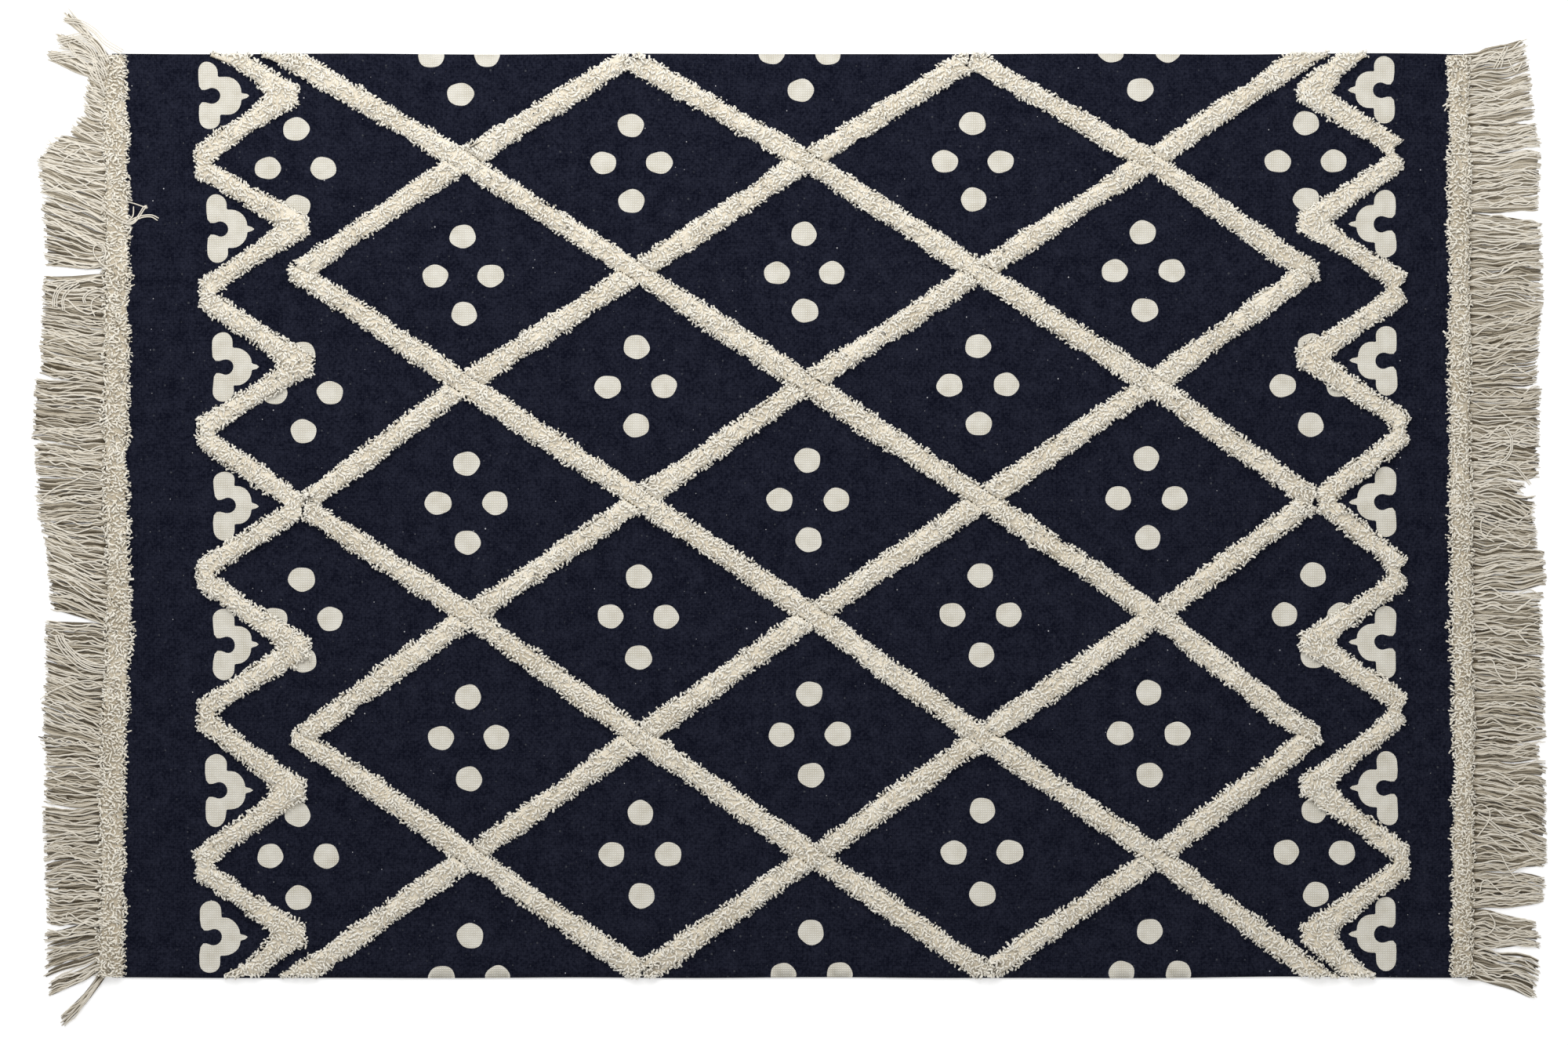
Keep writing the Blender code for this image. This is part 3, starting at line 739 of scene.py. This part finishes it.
def build_cloth(materials):
    rng = np.random.default_rng(CLOTH_SEED)
    outline = cloth_outline(rng)
    bare = [in_metres(o) for o in dot_outlines(rng)]
    bare += [in_metres(ornament_outline(rng, o)) for o in ORNAMENTS]
    points = list(outline)
    loops = [list(range(len(outline)))]
    for shape in bare:
        loops.append(list(range(len(points), len(points) + len(shape))))
        points += shape
    tree = KDTree(len(points))
    for i, (x, y) in enumerate(points):
        tree.insert((x, y, 0), i)
    tree.balance()
    row_step = CLOTH_GRID * math.sqrt(3) / 2
    row = 0
    y = NEAR_EDGE + row_step
    while y < FAR_EDGE:
        x = LEFT_END + CLOTH_GRID * (0.5 + 0.5 * (row % 2))
        while x < RIGHT_END:
            if tree.find((x, y, 0))[2] > CLEAR_OF_OUTLINE:
                points.append((x, y))
            x += CLOTH_GRID
        y += row_step
        row += 1
    flat, _, faces, _, _, sources = delaunay_2d_cdt(
        [Vector(p) for p in points], [], loops, 1, 1e-6, True
    )
    kept = [(f, s) for f, s in zip(faces, sources) if 0 in s]
    triangles = np.array([f for f, _ in kept])
    is_bare = np.array([len(s) > 1 for _, s in kept])
    flat = np.array([tuple(p) for p in flat])
    used, triangles = np.unique(triangles, return_inverse=True)
    triangles = triangles.reshape(-1, 3)
    flat = flat[used]
    field = waves(rng, 0.22)
    lift = cloth_swell(flat[:, 0], flat[:, 1], field)
    count = len(flat)
    lower = np.column_stack([flat, lift])
    upper = np.column_stack([flat, lift + CLOTH_THICK])
    a, b, c = flat[triangles].transpose(1, 0, 2)
    turned = np.cross(b - a, c - a) < 0
    triangles[turned] = triangles[turned][:, ::-1]
    rim = rim_edges(triangles)
    walls = np.concatenate(
        [
            np.column_stack([rim[:, 0], rim[:, 0] + count, rim[:, 1] + count]),
            np.column_stack([rim[:, 0], rim[:, 1] + count, rim[:, 1]]),
        ]
    )
    faces = np.concatenate([triangles + count, triangles[:, ::-1], walls])
    slots = np.concatenate([is_bare, np.ones(len(triangles)), np.zeros(len(walls))])
    return mesh_object(
        "printed_cloth_sheet", np.concatenate([lower, upper]), faces, materials, slots=slots
    )


def rim_edges(triangles):
    """Directed edges that only one triangle has, turned so that their walls face outwards."""
    edges = np.concatenate([triangles[:, [0, 1]], triangles[:, [1, 2]], triangles[:, [2, 0]]])
    known = {(a, b) for a, b in edges.tolist()}
    rim = [(b, a) for a, b in known if (b, a) not in known]
    return np.array(sorted(rim))


# Cut pile


def end_shift(side, y):
    """How far the band of pile and the roots of the fringe lie to the right there."""
    rows = [row.across * MM for row in END_SHIFTS]
    shifts = [(row.left if side < 0 else row.right) * MM for row in END_SHIFTS]
    return np.interp(y, rows, shifts)


def spread_spots(points, triangles, spacing, rng):
    """Spots about evenly spread over the faces that don't look down, with their normals."""
    a, b, c = points[triangles].transpose(1, 0, 2)
    across = np.cross(b - a, c - a)
    double = np.linalg.norm(across, axis=1)
    normals = unit(across)
    area = np.where(normals[:, 2] > -0.3, double / 2, 0)
    tries = int(4.5 * area.sum() / spacing**2)
    picked = rng.choice(len(area), tries, p=area / area.sum())
    u, v = rng.random((2, tries, 1))
    u, v = np.where(u + v > 1, 1 - u, u), np.where(u + v > 1, 1 - v, v)
    spots = a[picked] + u * (b - a)[picked] + v * (c - a)[picked]
    cells = {}
    kept = []
    near = spacing**2
    for i, (x, y, z) in enumerate(spots.tolist()):
        column = math.floor(x / spacing)
        row = math.floor(y / spacing)
        crowded = any(
            (x - px) ** 2 + (y - py) ** 2 + (z - pz) ** 2 < near
            for dc in (-1, 0, 1)
            for dr in (-1, 0, 1)
            for px, py, pz in cells.get((column + dc, row + dr), ())
        )
        if not crowded:
            cells.setdefault((column, row), []).append((x, y, z))
            kept.append(i)
    return spots[kept], normals[picked[kept]]


def other_ridge(ridges, point, normal):
    """Whether another ridge stands close against this one there."""
    start = Vector(point) + 0.03 * MM * Vector(normal)
    return ridges.ray_cast(start, Vector(normal), SEAM_REACH)[0] is not None


def subdivided(points, triangles):
    """Each triangle split into four."""
    a, b, c = points[triangles].transpose(1, 0, 2)
    ab, bc, ca = (a + b) / 2, (b + c) / 2, (c + a) / 2
    parts = ((a, ab, ca), (ab, b, bc), (ca, bc, c), (ab, bc, ca))
    corners = np.concatenate([np.stack(part, axis=1) for part in parts]).reshape(-1, 3)
    points, triangles = np.unique(corners.round(7), axis=0, return_inverse=True)
    return points, triangles.reshape(-1, 3)


def pile_core(points, triangles, ridges, style, joined):
    """The ridge's own solid drawn in, which fills the pile under its tufts.

    The ends of an arm that stands against another ridge are drawn out into it instead.
    """
    keys, inverse = np.unique(points.round(6), axis=0, return_inverse=True)
    triangles = inverse.reshape(-1)[triangles]
    whole = (
        (triangles[:, 0] != triangles[:, 1])
        & (triangles[:, 1] != triangles[:, 2])
        & (triangles[:, 2] != triangles[:, 0])
    )
    triangles = triangles[whole]
    a, b, c = keys[triangles].transpose(1, 0, 2)
    across = np.cross(b - a, c - a)
    faces = unit(across)
    normals = np.zeros_like(keys)
    outwards = np.zeros_like(keys)
    sides = abs(faces[:, 2]) < 0.75
    for corner in range(3):
        np.add.at(normals, triangles[:, corner], across)
        np.add.at(outwards, triangles[sides, corner], faces[sides] * (1, 1, 0))
    shift = -(style.inset + CORE_DEPTH) * unit(outwards)
    shift[:, 2] = -CORE_SINK * np.maximum(unit(normals)[:, 2], 0)
    if joined:
        for face in np.flatnonzero(abs(faces[:, 2]) < 0.5):
            if other_ridge(ridges, keys[triangles[face]].mean(0), faces[face]):
                for corner in triangles[face]:
                    moved = shift[corner] @ faces[face]
                    shift[corner] += (JOINT_OVERLAP - moved) * faces[face]
    core = keys + shift
    core[:, 2] = np.maximum(core[:, 2], PILE_FLOOR)
    return core, triangles


def over_seams(spots, normals, ridges, rng):
    """Spots on faces that stand against another ridge move up on to the seam."""
    spots = spots.copy()
    normals = normals.copy()
    for i in np.flatnonzero(abs(normals[:, 2]) < 0.6):
        normal = Vector(normals[i])
        if other_ridge(ridges, spots[i], normal):
            inside = Vector(spots[i]) - rng.uniform(-1, 3) * MM * normal
            above = Vector((inside.x, inside.y, 50 * MM))
            hit = ridges.ray_cast(above, Vector((0, 0, -1)))
            if hit[0] is not None and hit[1].z > 0.6:
                spots[i] = hit[0]
                normals[i] = hit[1]
    return spots, normals


def bunches(spots, rng):
    """The bunch that each spot belongs to, and the middles of the bunches."""
    middles = spots[rng.choice(len(spots), len(spots) // BUNCH, replace=False)]
    tree = KDTree(len(middles))
    for i, middle in enumerate(middles):
        tree.insert(middle, i)
    tree.balance()
    return np.array([tree.find(spot)[1] for spot in spots]), middles


def ring_points(centres, sideways, upwards, radii, turns):
    """Three points round each centre."""
    rings = []
    for k in range(3):
        turn = turns + 2 * math.pi * k / 3
        rings.append(
            centres
            + radii[:, None]
            * (np.cos(turn)[:, None] * sideways + np.sin(turn)[:, None] * upwards)
        )
    return np.stack(rings, axis=1)


def tuft_faces(count, rings):
    """Triangles of a closed three-sided tuft with that many rings and a tip."""
    size = 3 * rings + 1
    one = [(0, 2, 1)]
    for ring in range(rings - 1):
        low = 3 * ring
        for k in range(3):
            n = (k + 1) % 3
            one += [(low + k, low + n, low + 3 + n), (low + k, low + 3 + n, low + 3 + k)]
    last = 3 * (rings - 1)
    one += [(last + k, last + (k + 1) % 3, size - 1) for k in range(3)]
    one = np.array(one)
    return (one[None] + size * np.arange(count)[:, None, None]).reshape(-1, 3)


def tufts(spots, normals, style, along_x, rng):
    """Bits of yarn that lie about in small bunches and stick out at the rims of a ridge."""
    count = len(spots)
    bunch, middles = bunches(spots, rng)
    rim = np.clip(np.linalg.norm(normals[:, :2], axis=1), 0, 1)
    outward = (spots - middles[bunch]) / MM
    x, y = spots[:, 0].copy(), spots[:, 1].copy()
    inset = style.inset + FAR_INSET * smooth_step((y - FAR_INSET_START) / FAR_INSET_RUN)
    lift = style.uneven * rng.normal(0, 1, len(middles))[bunch] - inset * rim
    spots = spots + normals * lift[:, None]
    spots[:, 0] += style.stray * waves(rng, style.lump)(x, y)
    if not along_x:
        spots[:, 1] += style.stray * waves(rng, style.lump)(x, y)
    if along_x:
        turn = rng.normal(0, 0.5, len(middles)) + math.pi * rng.integers(0, 2, len(middles))
    else:
        turn = rng.uniform(0, 2 * math.pi, len(middles))
    turn = turn[bunch]
    along = np.column_stack([np.cos(turn), np.sin(turn), 0 * turn])
    along += 0.18 * outward + rng.normal(0, style.swirl, (count, 3))
    tangents = unit(along - normals * (along * normals).sum(1)[:, None])
    across = np.cross(normals, tangents)
    on_rim = rim > 0.5
    rim_lean = rng.uniform(*RIM_LEAN, count)
    top_lean = rng.uniform(*TOP_LEAN, count)
    lean = np.radians(np.where(on_rim, rim_lean, top_lean))
    bend = np.radians(rng.uniform(*TUFT_BEND, count))
    curl = np.radians(rng.normal(0, TUFT_CURL, count))[:, None]
    length = rng.uniform(style.least, style.most, count) * np.where(on_rim, RIM_LENGTH, 1)
    radii = style.thick / 1.75 * rng.uniform(0.8, 1.2, count)

    def heading(angle, turned):
        flat = tangents * np.cos(turned) + across * np.sin(turned)
        return normals * np.cos(angle)[:, None] + flat * np.sin(angle)[:, None]

    first = heading(lean - bend, -curl)
    second = heading(lean + bend, curl)
    back = 0.45 * length * np.sin(lean)
    roots = spots - normals * ROOT_SINK - tangents * back[:, None]
    middles = roots + first * (0.5 * length)[:, None]
    shoulders = middles + second * (0.5 * length - 0.4 * radii)[:, None]
    tips = middles + second * (0.5 * length)[:, None]
    turns = math.pi / 2 + rng.normal(0, 0.45, count)
    own = rng.normal(0, style.mottle, count) + rng.normal(0, style.mottle, len(middles))[bunch]
    long = length > LONG_TUFT
    three = (
        # Tones rise from the dark roots to the pale tips: painted shade down in the pile
        (roots, first, 0.85, style.root_tone),
        (middles, first, 1, 0.9),
        (shoulders, second, 0.95, 0.95),
    )
    two = ((roots, first, 0.9, style.root_tone), (shoulders, second, 1, 0.94))
    parts = []
    for chosen, stations in ((long, three), (~long, two)):
        rings = []
        shades = []
        for centres, direction, share, tone in stations:
            sideways = unit(np.cross(direction, normals))
            upwards = np.cross(direction, sideways)
            rings.append(
                ring_points(
                    centres[chosen], sideways[chosen], upwards[chosen], share * radii[chosen],
                    turns[chosen],
                )
            )
            shades.append(np.repeat((tone + own[chosen])[:, None], 3, axis=1))
        rings.append(tips[chosen][:, None])
        shades.append((0.92 + own[chosen])[:, None])
        some = np.concatenate(rings, axis=1)
        shade = np.concatenate(shades, axis=1).reshape(-1)
        parts.append((some.reshape(-1, 3), tuft_faces(len(some), len(stations)), shade))
    points, faces, tones = merged(parts)
    points[:, 2] = np.maximum(points[:, 2], TUFT_FLOOR)
    return points, faces, tones


def all_ridges(nodes):
    """The solids of all ridges, to find where two stand against each other."""
    points, faces, _ = merged([(*node_arrays(node), ()) for node in nodes])
    return BVHTree.FromPolygons(points.tolist(), faces.tolist())


def drawn_in(x, start, share):
    """What lies beyond the start comes nearer to it, to that share."""
    return np.where(x > start, start + (x - start) * share, x)


def notched(x, y):
    for notch in NOTCHES:
        near = smooth_step(1 - abs(y - notch.across * MM) / (notch.half * MM))
        share = 1 - notch.depth * MM / NOTCH_RUN * near
        x = np.where(x > NOTCH_START, NOTCH_START + (x - NOTCH_START) * share, x)
    return x


def within_edges(y):
    """Pile at the long edges of the cloth lies back inside them."""
    y = drawn_in(y, FAR_EDGE - EDGE_PILE, EDGE_SHARE)
    return -drawn_in(-y, -NEAR_EDGE - EDGE_PILE, EDGE_SHARE)


def build_pile(node, slot, style, material, ridges, seed):
    rng = np.random.default_rng(seed)
    points, triangles = node_arrays(node)
    core, core_faces = pile_core(points, triangles, ridges, style, "rising" in node)
    spots, normals = spread_spots(points, triangles, style.spacing, rng)
    spots, normals = over_seams(spots, normals, ridges, rng)
    bits, bit_faces, tones = tufts(spots, normals, style, slot == "band_pile", rng)
    if slot == "band_pile":
        side = 1 if node.endswith("right") else -1
        core[:, 0] += end_shift(side, core[:, 1])
        bits[:, 0] += end_shift(side, bits[:, 1])
        core[:, 1] = within_edges(core[:, 1])
        bits[:, 1] = within_edges(bits[:, 1])
    if node == "pile_zigzag_right":
        core, core_faces = subdivided(*subdivided(core, core_faces))
        core[:, 0] = notched(core[:, 0], core[:, 1])
        bits[:, 0] = notched(bits[:, 0], bits[:, 1])
    if node in DRAWN_IN:
        start, share = DRAWN_IN[node]
        core[:, 0] = drawn_in(core[:, 0], start * MM, share)
        bits[:, 0] = drawn_in(bits[:, 0], start * MM, share)
    # The core is painted darker still, as shade in the gaps between the tufts
    core_shade_tones = np.full(len(core), style.root_tone / 2)
    points, faces, tones = merged([(core, core_faces, core_shade_tones), (bits, bit_faces, tones)])
    piece = mesh_object(node.replace("pile_", "tufts_"), points, faces, [material], tones=tones)
    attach(piece, "root")
    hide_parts(node)
    return piece


# Fringes


def swept(paths, radii, sides, tones, widen=1.0):
    """Closed strands, round or widened: paths is strands by stations by 3."""
    count, stations, _ = paths.shape
    heading = unit(np.gradient(paths, axis=1))
    level = np.zeros_like(heading)
    level[..., 2] = 1
    sideways = unit(np.cross(heading, level))
    upwards = np.cross(sideways, heading)
    rings = []
    for k in range(sides):
        turn = 2 * math.pi * k / sides
        rings.append(
            paths
            + radii[..., None]
            * (widen * math.cos(turn) * sideways + math.sin(turn) * upwards)
        )
    rings = np.stack(rings, axis=2)
    body = rings.reshape(count, stations * sides, 3)
    tips = paths[:, -1] + heading[:, -1] * radii[:, -1:]
    points = np.concatenate([body, tips[:, None], paths[:, :1]], axis=1)
    one = []
    for station in range(stations - 1):
        low = station * sides
        for k in range(sides):
            n = (k + 1) % sides
            one.append((low + k, low + sides + n, low + n))
            one.append((low + k, low + sides + k, low + sides + n))
    tip = stations * sides
    last = tip - sides
    one += [(last + k, tip, last + (k + 1) % sides) for k in range(sides)]
    one += [(k, (k + 1) % sides, tip + 1) for k in range(sides)]
    size = tip + 2
    faces = (np.array(one)[None] + size * np.arange(count)[:, None, None]).reshape(-1, 3)
    shade = np.repeat(tones[..., None], sides, axis=2).reshape(count, stations * sides)
    shade = np.concatenate([shade, tones[:, -1:], tones[:, :1]], axis=1)
    return points.reshape(-1, 3), faces, shade.reshape(-1)


def fringe_face(side, y):
    """How far out the fringe leaves the band of pile."""
    if side < 0:
        return -LEFT_END + LEFT_FACE - end_shift(side, y)
    return right_end(y) + RIGHT_FACE + end_shift(side, y)


def clump_strands(rng, clumps, pitch, loose, slant):
    """Root, tip and reach of strands that lie side by side in their clumps."""
    roots, tips, reaches = [], [], []
    for clump in clumps:
        width = abs(clump.root_from - clump.root_to)
        count = max(3, round(width * MM / pitch))
        even = (np.arange(count) + rng.uniform(0.1, 0.9, count)) / count
        most = min(1, 0.25 * width / abs(clump.rise or 1)) * clump.rise / width
        risen = 4 * even * (1 - even) * slant * most
        share = even + risen / 2
        moved = even - risen / 2 + rng.normal(0, loose / width, count)
        crossed = np.clip(moved, rng.uniform(-0.02, 0.06, count), rng.uniform(0.94, 1.02, count))
        roots.append(clump.root_from + (clump.root_to - clump.root_from) * share)
        tips.append(clump.tip_from + (clump.tip_to - clump.tip_from) * crossed)
        reach = clump.reach_from + (clump.reach_to - clump.reach_from) * share
        short = (rng.random(count) < 0.05) * rng.uniform(4, 0.25 * reach)
        reaches.append(reach + rng.normal(-0.5, 1.0, count) - short)
    return (np.concatenate(part) * MM for part in (roots, tips, reaches))


def strand_layer(rng, side, clumps, flow, layer):
    roots, tips, reaches = clump_strands(rng, clumps, layer.pitch, layer.loose, layer.slant)
    count = len(roots)
    share = np.linspace(0, 1, layer.stations)[None]
    face = fringe_face(side, roots) + FACE_UNEVEN * flow(0 * roots, 3 * roots)
    face = face[:, None]
    reaches = np.maximum(reaches[:, None] - layer.short * MM, LEAST_REACH)
    run = ROOT_DEPTH + reaches
    distance = share * run
    x = side * (face - ROOT_DEPTH + distance)
    lock_middle = (np.floor(roots / LOCK_PITCH) + 0.5) * LOCK_PITCH
    pinch = layer.pinch * (1 - smooth_step((distance - ROOT_DEPTH) / PINCH_RUN))
    y = roots[:, None] + (lock_middle - roots)[:, None] * pinch
    aside = (tips - roots)[:, None]
    bow = BOW
    for ease in BOW_EASES:
        bow = bow - ease.less * smooth_step((abs(aside) - ease.aside) / ease.run)
    y = y + aside * share**bow
    swing = smooth_step((distance - ROOT_DEPTH) / SWING_RUN)
    y = y + layer.flow * MM * flow(distance, 0.7 * roots[:, None]) * swing
    for size, shortest, longest in layer.sways:
        length = rng.uniform(shortest, longest, (count, 1)) * MM
        start = rng.uniform(0, 2 * math.pi, (count, 1))
        amount = rng.normal(0, size, (count, 1)) * MM
        y = y + amount * np.sin(distance * 2 * math.pi / length + start) * swing
    radii = YARN_THICK / 2 * layer.thick * rng.uniform(0.85, 1.15, (count, 1))
    radii = radii * (1 - 0.4 * smooth_step((share - 0.9) * 10))
    height = rng.uniform(layer.low, layer.high, (count, 1)) * MM
    lying = height * (1 - 0.5 * share**2)
    rooted = (ROOT_HEIGHT + 0.35 * height - lying) * (
        1 - smooth_step((distance - 0.5 * ROOT_DEPTH) / SWING_RUN)
    )
    start = rng.uniform(0, 2 * math.pi, (count, 1))
    ripple = layer.ripple * MM * np.sin(distance * 2 * math.pi / RIPPLE_LENGTH + start)
    z = np.maximum(lying + rooted + ripple, radii + 0.1 * MM)
    tones = layer.tone + rng.normal(0, layer.mottle, (count, 1)) + 0 * share
    # Painted light, lighter towards the far edge
    tones = tones + FAR_PAINTED_LIGHT * smooth_step((roots[:, None] - FAR_PAINTED_LIGHT_START) / FAR_PAINTED_LIGHT_RUN)
    tones = tones - ROOT_SHADE * (1 - smooth_step((distance - ROOT_DEPTH) / ROOT_SHADE_RUN))
    return swept(np.stack([x, y, z], axis=2), radii, layer.sides, tones, layer.widen)


Layer = namedtuple(
    "Layer",
    "pitch loose slant short flow ripple stations sways low high tone mottle "
    "sides pinch thick widen",
    defaults=(4, 0.42, 0.95, 1.0),
)
# From the floor up, each lower layer in a darker tone as painted shade. The lowest is a dark cover
# of painted shade that shows in the gaps between the others
LAYERS = (
    Layer(
        pitch=2.3 * MM, loose=1.0, slant=0.9, short=3.5, flow=3.0, ripple=0.0, stations=9,
        sways=((0.3, 40, 80),), low=0.9, high=1.2, tone=0.06, mottle=0.1,
        sides=3, pinch=0.0, thick=1.0, widen=2.2,
    ),
    Layer(
        pitch=2.65 * MM, loose=2.6, slant=0.9, short=0, flow=3.2, ripple=0.3, stations=17,
        sways=((0.9, 25, 60), (0.35, 9, 18)), low=1.8, high=2.8, tone=0.46, mottle=0.2,
    ),
    Layer(
        pitch=4.3 * MM, loose=7.0, slant=1.0, short=0, flow=3.6, ripple=0.4, stations=20,
        sways=((1.7, 30, 70), (0.45, 9, 18)), low=2.9, high=4.2, tone=0.86, mottle=0.14,
    ),
    Layer(
        pitch=13 * MM, loose=17.0, slant=1.0, short=3, flow=3.6, ripple=0.5, stations=24,
        sways=((3.2, 40, 90), (0.7, 12, 22)), low=4.0, high=5.2, tone=0.92, mottle=0.08,
    ),
)


def resting_height(side, x):
    """How high a stray yarn lies: on the fringe, over the band of pile, or on the cloth."""
    middle = -LEFT_END - BAND_MIDDLE if side < 0 else RIGHT_END - BAND_MIDDLE
    off = side * x - middle
    beside = np.where(off > 0, ON_FRINGE, ON_CLOTH)
    return beside + (OVER_BAND - beside) * smooth_step((BAND_CLEAR - abs(off)) / BAND_SLOPE)


def stray_yarns(rng, side, strays):
    """The strays as smooth curves through their points, the strands of each side by side."""
    parts = []
    for stray in strays:
        marks = np.array(stray.points, float) * (side, 1) * MM
        steps = np.linspace(0, len(marks) - 1, 6 * len(marks))
        ends = np.vstack([2 * marks[0] - marks[1], marks, 2 * marks[-1] - marks[-2]])
        piece = np.minimum(steps.astype(int), len(marks) - 2)
        t = (steps - piece)[:, None]
        a, b, c, d = (ends[piece + k] for k in range(4))
        curve = 0.5 * (
            2 * b + (c - a) * t + (2 * a - 5 * b + 4 * c - d) * t**2
            + (3 * b - a - 3 * c + d) * t**3
        )
        run = unit(np.gradient(curve, axis=0))
        aside = np.column_stack([-run[:, 1], run[:, 0]])
        for strand in range(stray.strands):
            off = (strand - (stray.strands - 1) / 2) * STRAY_PITCH
            spread = off * (1 + 0.25 * np.sin(steps * 1.3 + strand))[:, None]
            flat = curve + aside * spread
            z = resting_height(side, flat[:, 0]) + rng.uniform(0, 0.8) * MM
            path = np.column_stack([flat, z])[None]
            radii = np.full((1, len(path[0])), STRAY_RADIUS)
            radii[:, -2:] *= 0.8
            parts.append(swept(path, radii, 5, np.full_like(radii, STRAY_TONE)))
    return parts


def header_strip(side):
    """The narrow woven strip that the yarns are rooted in, dark with painted shade."""
    y = np.linspace(NEAR_EDGE + 1 * MM, FAR_EDGE - 1 * MM, STRIP_STEPS + 1)
    outer = fringe_face(side, y) + STRIP_PROUD
    inner = outer - STRIP_WIDTH
    low = np.full_like(y, STRIP_LOW)
    high = np.full_like(y, STRIP_HIGH)
    lines = ((inner, low), (outer, low), (outer, high), (inner, high))
    points = np.stack([np.column_stack([side * x, y, z]) for x, z in lines], axis=1)
    faces = []
    for i in range(STRIP_STEPS):
        for k in range(4):
            n = (k + 1) % 4
            a, b, c, d = 4 * i + k, 4 * i + n, 4 * i + 4 + n, 4 * i + 4 + k
            faces += [(a, b, c), (a, c, d)]
    end = 4 * STRIP_STEPS
    faces += [(0, 2, 1), (0, 3, 2), (end, end + 1, end + 2), (end, end + 2, end + 3)]
    faces = np.array(faces)
    if side > 0:
        faces = faces[:, ::-1]
    return points.reshape(-1, 3), faces, np.full(4 * (STRIP_STEPS + 1), STRIP_SHADE_TONE)


def build_fringe(name, side, clumps, strays, material, seed):
    rng = np.random.default_rng(seed)
    flow = waves(rng, 60 * MM, 6)
    parts = [header_strip(side)]
    parts += [strand_layer(rng, side, clumps, flow, layer) for layer in LAYERS]
    parts += stray_yarns(rng, side, strays)
    points, faces, tones = merged(parts)
    piece = mesh_object("yarns_" + name, points, faces, [material], tones=tones)
    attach(piece, "root")
    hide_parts("fringe_" + name)
    return piece


# Room


def build_room():
    scene = bpy.context.scene
    scene.view_settings.view_transform = "Standard"
    half = FLOOR_SIZE / 2
    corners = [(-half, -half), (half, -half), (half, half), (-half, half)]
    points = [(x, y, -FLOOR_DROP) for x, y in corners]
    faces = [(0, 1, 2), (0, 2, 3)]
    floor = mesh_object("pale_floor", points, faces, [floor_paint()], smooth=False)
    world = bpy.data.worlds.new("soft_white_room")
    world.use_nodes = True
    tree = world.node_tree
    sockets = {"Color": (1.0, 1.0, 1.0, 1), "Strength": ROOM_LIGHT}
    connect(tree, tree.nodes["Background"], sockets)
    scene.world = world
    light_data = bpy.data.lights.new("soft_box", "AREA")
    light_data.shape = "RECTANGLE"
    light_data.size, light_data.size_y = LIGHT_SIZE
    light_data.energy = LIGHT_WATTS
    light_data.color = (1.0, 1.0, 1.0)
    light = bpy.data.objects.new("soft_box", light_data)
    light.location = LIGHT_PLACE
    aim = Vector(LIGHT_AIM) - light.location
    light.rotation_euler = aim.to_track_quat("-Z", "Y").to_euler()
    light.visible_camera = False
    scene.collection.objects.link(light)
    camera_data = bpy.data.cameras.new("camera")
    camera_data.lens = LENS
    camera_data.sensor_width = SENSOR_WIDTH
    camera_data.clip_end = 50
    camera = bpy.data.objects.new("camera", camera_data)
    camera.location = (*FIELD_MIDDLE, FIELD_WIDTH * LENS / SENSOR_WIDTH)
    scene.collection.objects.link(camera)
    scene.camera = camera
    return floor


floor = build_room()
cloth = build_cloth([navy_print(), bare_canvas()])
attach(cloth, "root")
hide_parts("ground_cloth")

pile_yarn = cotton_yarn("pile_yarn", PILE_PAINTED_SHADE, PILE_MIDDLE, PILE_PALE, PILE_FUZZ)
band_yarn = cotton_yarn("band_yarn", BAND_PAINTED_SHADE, BAND_TONE, BAND_PALE, PILE_FUZZ)
pile_nodes = sorted(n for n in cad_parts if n.startswith("pile_"))
ridges = all_ridges(pile_nodes)
for number, node in enumerate(pile_nodes):
    if "band" in node:
        choice = ("band_pile", BAND_STYLE, band_yarn)
    elif "zigzag" in node:
        choice = ("border_pile", BORDER_STYLE, pile_yarn)
    else:
        choice = ("lattice_pile", LATTICE_STYLE, pile_yarn)
    build_pile(node, *choice, ridges, PILE_SEED + number)

loose_yarn = cotton_yarn("loose_yarn", YARN_PAINTED_SHADE, YARN_MIDDLE, YARN_PALE, YARN_FUZZ)
build_fringe("left", -1, LEFT_CLUMPS, LEFT_STRAYS, loose_yarn, LEFT_SEED)
build_fringe("right", 1, RIGHT_CLUMPS, RIGHT_STRAYS, loose_yarn, RIGHT_SEED)
